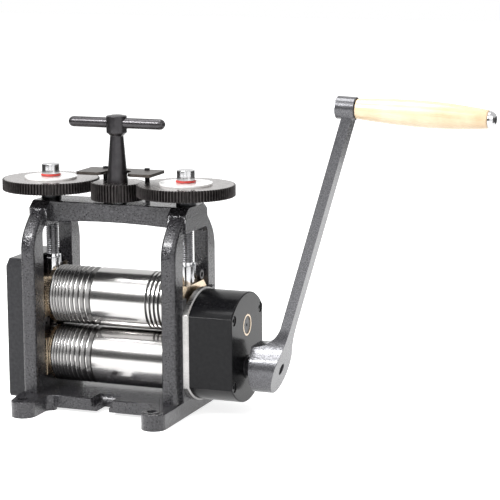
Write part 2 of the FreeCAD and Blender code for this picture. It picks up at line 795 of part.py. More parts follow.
for ending, side in (("left", -1), ("right", 1)):
    place = "screwAcross" if side > 0 else "-screwAcross"
    keep(adjusting_screw("screw_" + ending, place), screw_nut("nut_" + ending, place),
         screw_gear("gear_" + ending, place), graduated_dial("dial_" + ending, place),
         sealing_ring("oring_" + ending, place), lift_hook("hook_" + ending, side),
         cross_bolt("crossbolt_" + ending, side))


# ---- handle and index plate -------------------------------------------------------------------

def centre_stud():
    section = [("frameTop - 16", "0"), ("frameTop - 16", "studRadius"),
               ("frameTop", "studRadius"), ("frameTop", "9"), ("frameTop + 1.9", "9"),
               ("frameTop + 1.9", "studRadius"), ("studTop - 1", "studRadius"),
               ("studTop", "studRadius - 1"), ("studTop", "0")]
    return turned("stud", "Z", section)


def pinion():
    body = new_body("pinion")
    posts(body, "XY_Plane", "pinionBottom", [("0", "0")], "pinionTeeth / 2 - 1.2",
          "pinionTop - pinionBottom")
    add_teeth(body, "Z", "pinionBottom", "pinionTop", 1.0, "pinionTeeth", 1.0, 1.25, 0.18, 3)
    drill(body, "XY_Plane", "pinionTop", [("0", "0")], "spigotRadius",
          "pinionTop - pinionBottom + 1")
    return body


def handle_post():
    section = [("pinionBottom", "handleBore"), ("pinionBottom", "spigotRadius"),
               ("pinionTop", "spigotRadius"), ("pinionTop", "postFoot"),
               ("postWaistHeight", "postWaist"), ("hubBottom", "hubRadius"),
               ("hubTop", "hubRadius"), ("hubCrown", "3.5", "28"), ("hubCrown", "0"),
               ("studTop + 0.5", "0"),
               ("studTop + 0.5", "handleBore")]
    body = turned("post", "Z", section)
    drill(body, "YZ_Plane", "-15", [("0", "barHeight")], "barRadius", "30", True)
    return body


def tee_bar():
    section = [("barHalf", "0"), ("barHalf - barRadius", "barRadius", "barRadius"),
               ("-barHalf + barRadius", "barRadius"), ("-barHalf", "0", "barRadius")]
    return turned("tee_bar", "X", section, "0", "0", "barHeight")


def index_plate():
    body = new_body("index_plate")
    outline = [("indexHalf", "indexRear"), ("-indexHalf", "indexRear"),
               ("-indexHalf", "-indexFront"), ("-indexSlot - 8", "-indexFront"),
               ("-indexSlot", "-indexFront + 8", "8"), ("-indexSlot", "0"),
               ("indexSlot", "0", "-indexSlot"), ("indexSlot", "-indexFront + 8"),
               ("indexSlot + 8", "-indexFront", "8"), ("indexHalf", "-indexFront")]
    block(body, "XY_Plane", "indexBottom", outline, "indexTop - indexBottom")
    drill(body, "XY_Plane", "indexTop", STANDOFFS, "1.6", "10")
    ease(body, "Fillet", 2.0, lambda at, box: abs(abs(at.x) - 40.5) < 0.1 and box.ZLength > 2.0)
    return body


def standoffs():
    body = new_body("standoffs")
    posts(body, "XY_Plane", "frameTop", STANDOFFS, "2.5", "indexBottom - frameTop")
    posts(body, "XY_Plane", "frameTop", STANDOFFS, "2", "9", True)
    drill(body, "XY_Plane", "indexBottom", STANDOFFS, "1.5", "8")
    return body


def index_screws():
    body = new_body("index_screws")
    posts(body, "XY_Plane", "indexTop", STANDOFFS, "2.7", "1.8")
    posts(body, "XY_Plane", "indexTop", STANDOFFS, "1.5", "10", True)
    sockets(body, "XY_Plane", "indexTop + 1.8", STANDOFFS, 1.2, "1")
    return body


keep(centre_stud(), pinion(), handle_post(), tee_bar())
keep(index_plate(), standoffs(), index_screws())


# ---- roll gear cover --------------------------------------------------------------------------

def gear_cover():
    body = new_body("gear_cover")
    outline = [("coverHalf", "coverBottom + 5"), ("coverHalf", "coverTop - 7"),
               ("coverHalf - 7", "coverTop"), ("-coverHalf + 7", "coverTop"),
               ("-coverHalf", "coverTop - 7"), ("-coverHalf", "coverBottom + 5"),
               ("-coverHalf + 5", "coverBottom", "5"), ("coverHalf - 5", "coverBottom")]
    outline[0] = outline[0] + ("5",)
    block(body, "YZ_Plane", "-legOuter", outline, "coverOuter - legOuter", False, True)
    ease(body, "Chamfer", 1.0, lambda at, box: abs(at.x + number("coverOuter")) < 0.01)
    for wall, depth in (("coverWall", "coverOuter - legOuter - coverWall - 2"),
                        ("coverStep", "coverOuter - legOuter - coverWall")):
        half = "coverHalf - " + wall
        low = "coverBottom + " + wall
        high = "coverTop - " + wall
        hollow = [(half, low), (half, high + " - 6"), (half + " - 6", high),
                  ("-coverHalf + 6 + " + wall, high), ("-coverHalf + " + wall, high + " - 6"),
                  ("-coverHalf + " + wall, low)]
        cut(body, "YZ_Plane", "-legOuter", hollow, depth)
    posts(body, "YZ_Plane", "-legOuter", COVER_SCREWS, "4.9", "coverOuter - legOuter - 1", True)
    drill(body, "YZ_Plane", "-legOuter + 1", COVER_SCREWS, "2", "30")
    drill(body, "YZ_Plane", "-coverOuter", COVER_SCREWS, "3.9", "2.4", True)
    cut(body, "XY_Plane", "coverBottom - 1",
        rectangle("-baseHalf - 0.3", "-legOuter + 1", "-coverHalf - 1", "coverHalf + 1"),
        "baseTop - coverBottom + 1.3", True)
    return body


def cover_screws():
    body = new_body("cover_screws")
    posts(body, "YZ_Plane", "-coverOuter + 0.2", COVER_SCREWS, "3.7", "2.2")
    posts(body, "YZ_Plane", "-coverOuter + 2.4", COVER_SCREWS, "2", "30")
    sockets(body, "YZ_Plane", "-coverOuter + 0.2", COVER_SCREWS, 1.5, "1.2", True)
    return body


keep(gear_cover(), cover_screws())


# ---- reduction gearbox ------------------------------------------------------------------------

LOW = "lowerAxis - boxMiddle"
HIGH = "lowerAxis + shaftGap - boxMiddle"


def round_plate(half, corner, radius):
    return [(half, "-" + corner, radius), (half, corner), ("-" + half, corner, radius),
            ("-" + half, "-" + corner)]


def about_middle(spots):
    return [(across, up.replace("boxMiddle", "0")) for across, up in spots]


def back_plate():
    body = new_body("back_plate", "0", "0", "boxMiddle")
    block(body, "YZ_Plane", "plateInner", round_plate("plateHalf", "plateCorner", "plateRadius"),
          "plateOuter - plateInner")
    ease(body, "Chamfer", 1.2, lambda at, box: abs(at.x - number("plateOuter")) < 0.01)
    drill(body, "YZ_Plane", "plateInner", [("0", LOW)], "12.6", "10", True)
    drill(body, "YZ_Plane", "plateInner", [("0", HIGH)], "10.9", "10", True)
    drill(body, "YZ_Plane", "plateInner", about_middle(BOX_SCREWS), "2.5", "10", True)
    drill(body, "YZ_Plane", "plateInner", about_middle(PLATE_SCREWS), "2", "10", True)
    drill(body, "YZ_Plane", "plateOuter", about_middle(PLATE_SCREWS), "3.2", "2.4")
    return body


def plate_screws():
    body = new_body("plate_screws")
    posts(body, "YZ_Plane", "plateOuter - 0.2", PLATE_SCREWS, "3.2", "2.2", True)
    posts(body, "YZ_Plane", "plateOuter - 2.4", PLATE_SCREWS, "2", "16", True)
    sockets(body, "YZ_Plane", "plateOuter - 0.2", PLATE_SCREWS, 1.4, "1.2")
    return body


def housing():
    body = new_body("housing", "0", "0", "boxMiddle")
    block(body, "YZ_Plane", "plateOuter", round_plate("boxHalf", "boxCorner", "boxRadius"),
          "boxOuter - plateOuter")
    ease(body, "Chamfer", 0.8, lambda at, box: abs(at.x - number("boxOuter")) < 0.01)
    depth = "boxOuter - boxWall - plateOuter"
    drill(body, "YZ_Plane", "plateOuter", [("0", LOW)], "32.5", depth, True)
    drill(body, "YZ_Plane", "plateOuter", [("0", HIGH)], "30", depth, True)
    drill(body, "YZ_Plane", "boxOuter", [("0", LOW)], "11.5", "boxWall + 1")
    drill(body, "YZ_Plane", "boxOuter", [("0", HIGH)], "10.9", "boxWall + 1")
    drill(body, "YZ_Plane", "boxOuter", about_middle(BOX_SCREWS), "5", "6")
    drill(body, "YZ_Plane", "boxOuter", about_middle(BOX_SCREWS), "2.6", "50")
    return body


def housing_screws():
    body = new_body("housing_screws")
    posts(body, "YZ_Plane", "boxOuter - 6", BOX_SCREWS, "4.5", "5")
    posts(body, "YZ_Plane", "boxOuter - 6", BOX_SCREWS, "2.5", "boxOuter - plateInner - 7", True)
    sockets(body, "YZ_Plane", "boxOuter - 1", BOX_SCREWS, 2.0, "2.5")
    return body


def gear_wheel(label, start, end, teeth, half_pitch, height, bore):
    body = new_body(label, "0", "0", height)
    root = "gearModule*" + teeth + " / 2 - 2.2"
    posts(body, "YZ_Plane", start, [("0", "0")], root, end + " - " + start)
    add_teeth(body, "X", start, end, CELLS["gearModule"], teeth, 1.6, 2.25, 0.35, 4, half_pitch)
    drill(body, "YZ_Plane", start, [("0", "0")], bore, "30", True)
    return body


def input_shaft():
    root = "gearModule*inputTeeth / 2 - 2.2"
    section = [("99.5", "0"), ("99.5", "5"), ("110.5", "5"), ("110.5", "inputRadius"),
               ("fastInner", "inputRadius"), ("fastInner", root), ("fastOuter", root),
               ("fastOuter", "inputRadius"), ("160", "inputRadius"), ("161", "inputRadius - 1"),
               ("161", "0")]
    body = turned("input_shaft", "X", section, "0", "0", "lowerAxis")
    add_teeth(body, "X", "fastInner", "fastOuter", CELLS["gearModule"], "inputTeeth", 1.6, 2.25,
              0.35, 4)
    drill(body, "YZ_Plane", "161", [("0", "0")], "3", "16")
    return body


def jackshaft():
    root = "gearModule*jackPinionTeeth / 2 - 2.2"
    section = [("88.2", "0"), ("88.2", "8.8"), ("slowInner", "8.8"), ("slowInner", root),
               ("slowOuter", root), ("fastInner", root), ("fastInner", "9.5"),
               ("fastOuter", "9.5"), ("fastOuter", "8.8"), ("boxOuter - 0.7", "8.8"),
               ("boxOuter - 0.7", "1.6"), ("boxOuter - 2.3", "0")]
    body = turned("jackshaft", "X", section, "0", "0", "lowerAxis + shaftGap")
    add_teeth(body, "X", "slowInner", "slowOuter", CELLS["gearModule"], "jackPinionTeeth", 1.6,
              2.25, 0.35, 4)
    return body


keep(back_plate(), plate_screws(), housing(), housing_screws())
keep(turned("bush_input", "X", tube("boxOuter - boxWall - 0.1", "boxOuter + 1", "9.25", "11.5"),
            "0", "0", "lowerAxis"))
keep(turned("bush_jack_outer", "X", tube("boxOuter - boxWall", "boxOuter", "8.85", "10.9"),
            "0", "0", "lowerAxis + shaftGap"))
keep(turned("bush_jack_inner", "X", tube("plateInner + 0.2", "plateOuter + 1", "8.85", "10.9"),
            "0", "0", "lowerAxis + shaftGap"))
keep(input_shaft(), jackshaft())
keep(gear_wheel("jack_gear", "fastInner", "fastOuter", "jackGearTeeth", True,
                "lowerAxis + shaftGap", "9.5"))
keep(gear_wheel("output_gear", "slowInner", "slowOuter", "outputTeeth", False, "lowerAxis",
                "10"))


# ---- crank and grip ---------------------------------------------------------------------------

# The outer face of the hub and arm is one plane: along = crankFace + armSlope times the height.
def crank():
    body = new_body("crank", "0", "0", "lowerAxis")
    profile = [("crankInner", "-crankRadius"), ("crankFace - armSlope*crankRadius", "-crankRadius"),
               ("crankFace + armSlope*255", "255"),
               ("crankFace - armAcross + armSlope*255", "255"),
               ("crankFace - armAcross + armSlope*43.57", "43.57"),
               ("150", "crankRadius", "-27.27"), ("crankInner", "crankRadius")]
    block(body, "XZ_Plane", "0", profile, "2*crankRadius + 1", True)
    keyhole = [("0", "-crankRadius", "crankRadius"), ("19.3", "14.27", "crankRadius"),
               ("armFootHalf", "45", "-51.8"), ("armTopHalf", "262"), ("-armTopHalf", "262"),
               ("-armFootHalf", "45"), ("-19.3", "14.27", "-51.8")]
    around = new_sketch(body, "YZ_Plane", "140")
    draw_outline(around, rectangle("-30", "30", "-30", "270"))
    draw_outline(around, keyhole)
    pocket(body, around, "120", True)
    boss_at = V(CELLS["gripCentreX"], 0, CELLS["gripCentreZ"] - CELLS["lowerAxis"])
    tilt = FreeCAD.Rotation(V(0, 1, 0), 90.0 + CELLS["gripTilt"])
    outward = tilt.multVec(V(0, 0, 1))
    for kind, radius, half in (("Additive", CELLS["eyeRadius"], CELLS["eyeHalf"]),
                               ("Subtractive", CELLS["gripBoltRadius"], CELLS["eyeHalf"] + 5)):
        eye = body.newObject("PartDesign::%sCylinder" % kind, "crank_" + kind.lower())
        eye.Radius = radius
        eye.Height = 2 * half
        eye.Placement = FreeCAD.Placement(boss_at - outward * half, tilt)
        doc.recompute()
    drill(body, "YZ_Plane", "140", [("0", "0")], "inputRadius", "21", True)
    drill(body, "YZ_Plane", "140", [("0", "0")], "3.1", "50", True)
    drill(body, "YZ_Plane", "166", [("0", "0")], "5.5", "20", True)
    return body


def hub_screw():
    section = [("147", "0"), ("147", "3"), ("166", "3"), ("166", "5.2"), ("170.4", "5.2"),
               ("171", "4.6"), ("171", "0")]
    body = turned("hub_screw", "X", section, "0", "0", "lowerAxis")
    sockets(body, "YZ_Plane", "171", [("0", "0")], 2.5, "3")
    return body


def grip_piece(label, section):
    return turned(label, "X", section, "gripCentreX", "0", "gripCentreZ", CELLS["gripTilt"])


def grip_bolt():
    return grip_piece("grip_bolt", [
        ("-eyeHalf - 7.6", "0"), ("-eyeHalf - 7.6", "gripBoltRadius"),
        ("eyeHalf", "gripBoltRadius"), ("eyeHalf", "7"), ("gripStart - 0.3", "7"),
        ("gripStart - 0.3", "gripBoltRadius"),
        ("gripStart + gripLength + 0.2", "gripBoltRadius"),
        ("gripStart + gripLength + 0.2", "7.9"), ("gripStart + gripLength + 2.5", "7.9"),
        ("gripStart + gripLength + 7.6", "0", "-8.67")])


def grip_nut():
    body = new_body("grip_nut", "gripCentreX", "0", "gripCentreZ", CELLS["gripTilt"])
    flats = [(str(round(6.9 * math.cos(math.pi * step / 3), 3)),
              str(round(6.9 * math.sin(math.pi * step / 3), 3))) for step in range(6)]
    block(body, "YZ_Plane", "-eyeHalf", flats, "6", False, True)
    drill(body, "YZ_Plane", "-eyeHalf", [("0", "0")], "gripBoltRadius", "10")
    return body


def grip():
    return grip_piece("grip", [
        ("gripStart", "gripBore"), ("gripStart", "9.1"), ("gripStart + 0.6", "9.7"),
        ("gripStart + 60", "12.6", "-700"), ("gripStart + 114", "10.1", "-364"),
        ("gripStart + gripLength - 0.8", "8.8"), ("gripStart + gripLength", "8"),
        ("gripStart + gripLength", "gripBore")])


keep(crank(), hub_screw(), grip_bolt(), grip_nut(), grip())


# ---- hand over --------------------------------------------------------------------------------

doc.recompute()
os.makedirs("parts", exist_ok=True)
for item in doc.Objects:
    if "Invalid" in item.State or "Error" in item.State:
        raise ValueError("%s does not build: %s" % (item.Label, item.State))
for piece in nodes:
    if piece.Shape.isNull() or not piece.Shape.isValid():
        raise ValueError("%s has no valid shape" % piece.Label)
    piece.Shape.exportStep("parts/" + piece.Label + ".step")
    print("%-18s solids %d volume %.0f" % (piece.Label, len(piece.Shape.Solids),
                                           piece.Shape.Volume))
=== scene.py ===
import bmesh
import bpy
import math
import numpy as np
from mathutils import Matrix, Vector


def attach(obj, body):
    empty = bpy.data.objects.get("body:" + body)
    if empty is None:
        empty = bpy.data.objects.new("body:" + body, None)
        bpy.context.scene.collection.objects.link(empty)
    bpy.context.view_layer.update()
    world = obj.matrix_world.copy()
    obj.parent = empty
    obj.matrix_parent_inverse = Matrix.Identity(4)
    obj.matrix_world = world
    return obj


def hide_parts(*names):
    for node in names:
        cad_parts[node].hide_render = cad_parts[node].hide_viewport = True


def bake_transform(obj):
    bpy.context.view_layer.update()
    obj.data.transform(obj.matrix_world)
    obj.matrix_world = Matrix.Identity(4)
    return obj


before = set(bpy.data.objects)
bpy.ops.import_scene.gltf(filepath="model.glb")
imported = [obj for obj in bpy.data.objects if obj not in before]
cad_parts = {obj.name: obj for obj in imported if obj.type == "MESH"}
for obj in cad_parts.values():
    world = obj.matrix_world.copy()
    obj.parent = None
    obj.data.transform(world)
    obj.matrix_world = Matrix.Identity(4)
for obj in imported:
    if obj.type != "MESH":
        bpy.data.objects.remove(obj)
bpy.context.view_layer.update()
print("rolling mill: frame loaded")

# The mill stands with its soles at zero height and its front towards -Y. Lengths are in mm and
# angles in degrees unless a note says otherwise.
mm = 0.001
mill = {
    "lowerAxis": 48.5,
    "upperAxis": 108.5,
    "jackAxis": 90.5,
    "screwAcross": 74.0,
    "gearLow": 215.6,
    "gearTop": 227.0,
    "segments": 96,
}

# Corners closer than a reach (in metres) become one, faces that meet at less than flatAngle are
# joined, and edges sharper than easedAngle are rounded.
joining = {"ownReach": 1e-6, "cadReach": 2e-6, "flatAngle": 1.0, "easedAngle": 28.0}


def addObject(name, data):
    thing = bpy.data.objects.new(name, data)
    bpy.context.scene.collection.objects.link(thing)
    return thing


# A piece from points in mm and faces: doubles are merged, edges sharper than an angle stay sharp.
# The body is a name, or two names and two heights in mm for a spring, which is not attached to either.
def makePiece(name, points, faces, body, material, replaced=(), sharpAngle=32.0):
    mesh = bpy.data.meshes.new(name)
    mesh.from_pydata((np.asarray(points, float) * mm).tolist(), [], faces)
    shell = bmesh.new()
    shell.from_mesh(mesh)
    bmesh.ops.remove_doubles(shell, verts=shell.verts, dist=joining["ownReach"])
    bmesh.ops.recalc_face_normals(shell, faces=shell.faces)
    shell.to_mesh(mesh)
    shell.free()
    mesh.shade_smooth()
    mesh.set_sharp_from_angle(angle=math.radians(sharpAngle))
    mesh.materials.append(material)
    piece = addObject(name, mesh)
    if isinstance(body, str):
        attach(piece, body)
    else:
        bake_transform(piece)
    if replaced:
        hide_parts(*replaced)
    return piece


# Faces of a grid of rows by columns, closed round the columns and, if asked, round the rows.
def gridFaces(rows, columns, closeRows=False):
    i, j = np.meshgrid(np.arange(rows if closeRows else rows - 1), np.arange(columns), indexing="ij")
    down, along = (i + 1) % rows, (j + 1) % columns
    quads = np.stack([i * columns + j, i * columns + along, down * columns + along, down * columns + j], -1)
    return quads.reshape(-1, 4).tolist()


# An arc takes up at most this share of each side of its corner. A corner that is nearly straight,
# with half its angle past this one in radians, stays as it is.
rounding = {"sideShare": 0.45, "straight": 1.55}


# Each corner (along, radius, round) of a profile becomes an arc tangent to both of its sides:
# the arc starts round / tan(half the corner's angle) before the corner.
def softProfile(corners, steps):
    spots = np.array([corner[:2] for corner in corners], float)
    listed = [spots[0]]
    for index in range(1, len(corners) - 1):
        here, size = spots[index], corners[index][2]
        back, ahead = spots[index - 1] - here, spots[index + 1] - here
        backLong, aheadLong = np.linalg.norm(back), np.linalg.norm(ahead)
        back, ahead = back / backLong, ahead / aheadLong
        half = math.acos(np.clip(back @ ahead, -1, 1)) / 2
        if size <= 0 or half > rounding["straight"]:
            listed.append(here)
            continue
        longest = rounding["sideShare"] * min(backLong, aheadLong)
        reach = min(size / math.tan(half), longest)
        radius = reach * math.tan(half)
        middle = here + (back + ahead) / np.linalg.norm(back + ahead) * radius / math.sin(half)
        first, last = here + back * reach - middle, here + ahead * reach - middle
        t = np.linspace(0, 1, steps + 1)[:, None]
        sweep = math.pi - 2 * half
        arc = (first * np.sin((1 - t) * sweep) + last * np.sin(t * sweep)) / math.sin(sweep)
        listed.extend(middle + arc)
    listed.append(spots[-1])
    return np.array(listed)


# Axes of a turned piece: along, and two directions square to it. A lean turns X down about Y.
def turningAxes(axis, lean=0.0):
    if axis == "Z":
        return np.array([0, 0, 1.0]), np.array([1.0, 0, 0]), np.array([0, 1.0, 0])
    c, s = math.cos(math.radians(lean)), math.sin(math.radians(lean))
    return np.array([c, 0, -s]), np.array([0, 1.0, 0]), np.array([s, 0, c])


# point(a, t) = centre + along(a) * axis + radius(a) * (cos t * side + sin t * up)
# A ring's profile is closed on itself. Any other one runs from axis to axis, but for the handle
# post's, which stays open round the stud.
def turnedPiece(name, corners, axis, centre, body, material, replaced=(), lean=0.0, steps=5,
                segments=mill["segments"], ring=False):
    profile = softProfile(list(corners) + ([corners[0]] if ring else []), steps)
    if ring:
        profile = profile[:-1]
    forward, side, up = turningAxes(axis, lean)
    t = np.linspace(0, 2 * math.pi, segments, endpoint=False)
    spoke = np.cos(t)[:, None] * side + np.sin(t)[:, None] * up
    points = (np.array(centre, float) + profile[:, 0][:, None, None] * forward
              + profile[:, 1][:, None, None] * spoke)
    faces = gridFaces(len(profile), segments, ring)
    return makePiece(name, points.reshape(-1, 3), faces, body, material, replaced)


# Takes off what lies beyond each plane (point in mm, outward normal) and closes the cut.
def trimShell(shell, planes):
    for point, normal in planes:
        whole = shell.verts[:] + shell.edges[:] + shell.faces[:]
        cut = bmesh.ops.bisect_plane(shell, geom=whole, dist=joining["ownReach"],
                                     plane_co=np.array(point) * mm, plane_no=normal, clear_outer=True)
        rim = [part for part in cut["geom_cut"] if isinstance(part, bmesh.types.BMEdge) and part.is_boundary]
        bmesh.ops.holes_fill(shell, edges=rim, sides=0)


# Draws what lies beyond the inner radius in towards a roll's axis, as far across as outer.
def drawIn(shell, inner, outer, height, share):
    for vert in shell.verts:
        along, up = vert.co.y, vert.co.z - height * mm
        if abs(vert.co.x) < outer * mm and math.hypot(along, up) > inner * mm:
            vert.co.y, vert.co.z = along * share, height * mm + up * share


# Marks the outer edges that have room for a bevel, by a test of their middle and length in mm.
def markEdges(shell, hasRoom):
    layer = shell.edges.layers.float.new("bevel_weight_edge")
    for edge in shell.edges:
        if edge.is_convex and edge.calc_face_angle(0.0) > math.radians(joining["easedAngle"]):
            middle = (edge.verts[0].co + edge.verts[1].co) / (2 * mm)
            edge[layer] = float(hasRoom(middle, edge.calc_length() / mm))


# A copy of a CAD node with its loose triangles joined and its corners rounded by a bevel. Where
# asked, planes trim it first and a waist (see drawIn) narrows a flange. A second finish goes on the
# faces that a test picks by their middle in mm.
def easedCopy(name, node, width, body, material, steps=3, planes=(), waist=None, second=None,
              hasRoom=None):
    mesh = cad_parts[node].data.copy()
    shell = bmesh.new()
    shell.from_mesh(mesh)
    bmesh.ops.remove_doubles(shell, verts=shell.verts, dist=joining["cadReach"])
    bmesh.ops.dissolve_limit(shell, angle_limit=math.radians(joining["flatAngle"]), verts=shell.verts,
                             edges=shell.edges)
    trimShell(shell, planes)
    if waist:
        drawIn(shell, *waist)
    if hasRoom:
        markEdges(shell, hasRoom)
    shell.to_mesh(mesh)
    shell.free()
    mesh.shade_smooth()
    mesh.set_sharp_from_angle(angle=math.radians(joining["easedAngle"]))
    mesh.materials.clear()
    mesh.materials.append(material)
    if second:
        mesh.materials.append(second[0])
        for face in mesh.polygons:
            face.material_index = int(second[1](face.center / mm))
    piece = addObject(name, mesh)
    bevel = piece.modifiers.new("edges", "BEVEL")
    bevel.width = width * mm
    bevel.segments = steps
    bevel.limit_method = "WEIGHT" if hasRoom else "ANGLE"
    bevel.angle_limit = math.radians(joining["easedAngle"])
    bevel.use_clamp_overlap = not hasRoom
    flats = piece.modifiers.new("flats", "WEIGHTED_NORMAL")
    flats.keep_sharp = True
    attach(piece, body)
    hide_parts(node)
    return piece


# Half a tooth, from its own middle to the middle of the gap: shares of the pitch across, and of the
# height above the root.
tooth = {
    "across": [0.0, 0.1568, 0.29, 0.40, 0.5],
    "height": [1.0, 1.0, 0.5, 0.0, 0.0],
    "relief": 0.6,
    "sharp": 25.0,
    "topFace": 0.9,
}


# A flat toothed wheel about Z: radius(t) follows root, flank and tip of each tooth, on rows along
# its width. Its upper faces get the brighter finish.
def toothedPiece(name, teeth, tip, root, bore, low, high, across, body, replaced, halfPitch=False):
    share, reach = np.array(tooth["across"]), np.array(tooth["height"])
    share = np.concatenate([share, 1 - share[-2:0:-1]])
    reach = np.concatenate([reach, reach[-2:0:-1]])
    index = np.arange(teeth)[:, None]
    t = ((index + share) * 2 * math.pi / teeth).ravel() + (math.pi / teeth if halfPitch else 0)
    reach = np.tile(reach, teeth)
    relief = tooth["relief"]
    levels = ((low, tip - relief), (low + relief, tip), (high - relief, tip), (high, tip - relief))
    rows = [(level, root + (tipHere - root) * reach) for level, tipHere in levels]
    inner = np.full_like(t, bore)
    rows = [(low, inner)] + rows + [(high, inner)]
    forward, side, up = turningAxes("Z")
    spoke = np.cos(t)[:, None] * side + np.sin(t)[:, None] * up
    points = np.array([np.array((across, 0, 0), float) + level * forward + radius[:, None] * spoke
                       for level, radius in rows])
    wheel = makePiece(name, points.reshape(-1, 3), gridFaces(len(rows), len(t), True), body,
                      finish["gearSteel"], replaced, sharpAngle=tooth["sharp"])
    wheel.data.materials.append(finish["gearTop"])
    for face in wheel.data.polygons:
        face.material_index = int(face.normal.z > tooth["topFace"])
    return wheel


# Adds a shader node. A word that names one of its inputs sets that input, any other an option.
def addNode(tree, kind, **settings):
    node = tree.nodes.new("ShaderNode" + kind)
    for key, value in settings.items():
        if key in node.inputs:
            node.inputs[key].default_value = value
        else:
            setattr(node, key, value)
    return node


# What all finishes share: gloss of the clear coat, cloud detail, and the strength of both bumps.
surface = {"coatGloss": 0.08, "detail": 4.0, "soft": 0.6, "noiseLow": 0.3, "noiseHigh": 0.7,
           "fineStrength": 0.6, "coarseStrength": 0.7}


# Noise that bumps the surface by a height in mm, on top of another bump if there is one.
def addBump(tree, height, strength, depth, under=None):
    bump = addNode(tree, "Bump", Strength=strength, Distance=depth * mm)
    tree.links.new(height, bump.inputs["Height"])
    if under:
        tree.links.new(under.outputs["Normal"], bump.inputs["Normal"])
    return bump


# A finish: two colours mixed by cloudy noise, uneven gloss, and a fine and a coarse bump.
# fine stretches the fine noise: (900, 0, 0) gives turning marks that ring the X axis.
def makeFinish(name, dark, light, metal, gloss, cloud=60.0, fine=(900, 900, 900), fineHeight=0.02,
               coarse=0.0, coarseHeight=0.0, coat=0.0, unevenGloss=0.06, contrast=(0.3, 0.7), sheen=0.5):
    material = bpy.data.materials.new(name)
    material.use_nodes = True
    tree = material.node_tree
    shader = tree.nodes["Principled BSDF"]
    shader.inputs["Metallic"].default_value = metal
    shader.inputs["Specular IOR Level"].default_value = sheen
    shader.inputs["Coat Weight"].default_value = coat
    shader.inputs["Coat Roughness"].default_value = surface["coatGloss"]
    place = addNode(tree, "TexCoord")
    clouds = addNode(tree, "TexNoise", Scale=cloud, Detail=surface["detail"], Roughness=surface["soft"])
    tree.links.new(place.outputs["Object"], clouds.inputs["Vector"])
    ramp = addNode(tree, "ValToRGB")
    for stop, position, colour in zip(ramp.color_ramp.elements, contrast, (dark, light)):
        stop.position = position
        stop.color = (*colour, 1)
    tree.links.new(clouds.outputs["Fac"], ramp.inputs["Fac"])
    tree.links.new(ramp.outputs["Color"], shader.inputs["Base Color"])
    stretch = addNode(tree, "Mapping", Scale=fine)
    tree.links.new(place.outputs["Object"], stretch.inputs["Vector"])
    marks = addNode(tree, "TexNoise", Scale=1.0, Detail=3.0)
    tree.links.new(stretch.outputs["Vector"], marks.inputs["Vector"])
    glossMap = addNode(tree, "MapRange")
    glossMap.inputs["From Min"].default_value = surface["noiseLow"]
    glossMap.inputs["From Max"].default_value = surface["noiseHigh"]
    glossMap.inputs["To Min"].default_value = gloss - unevenGloss / 2
    glossMap.inputs["To Max"].default_value = gloss + unevenGloss / 2
    tree.links.new(marks.outputs["Fac"], glossMap.inputs["Value"])
    tree.links.new(glossMap.outputs["Result"], shader.inputs["Roughness"])
    last = addBump(tree, marks.outputs["Fac"], surface["fineStrength"], fineHeight)
    if coarse:
        lumps = addNode(tree, "TexNoise", Scale=coarse)
        tree.links.new(place.outputs["Object"], lumps.inputs["Vector"])
        last = addBump(tree, lumps.outputs["Fac"], surface["coarseStrength"], coarseHeight, last)
    tree.links.new(last.outputs["Normal"], shader.inputs["Normal"])
    return material


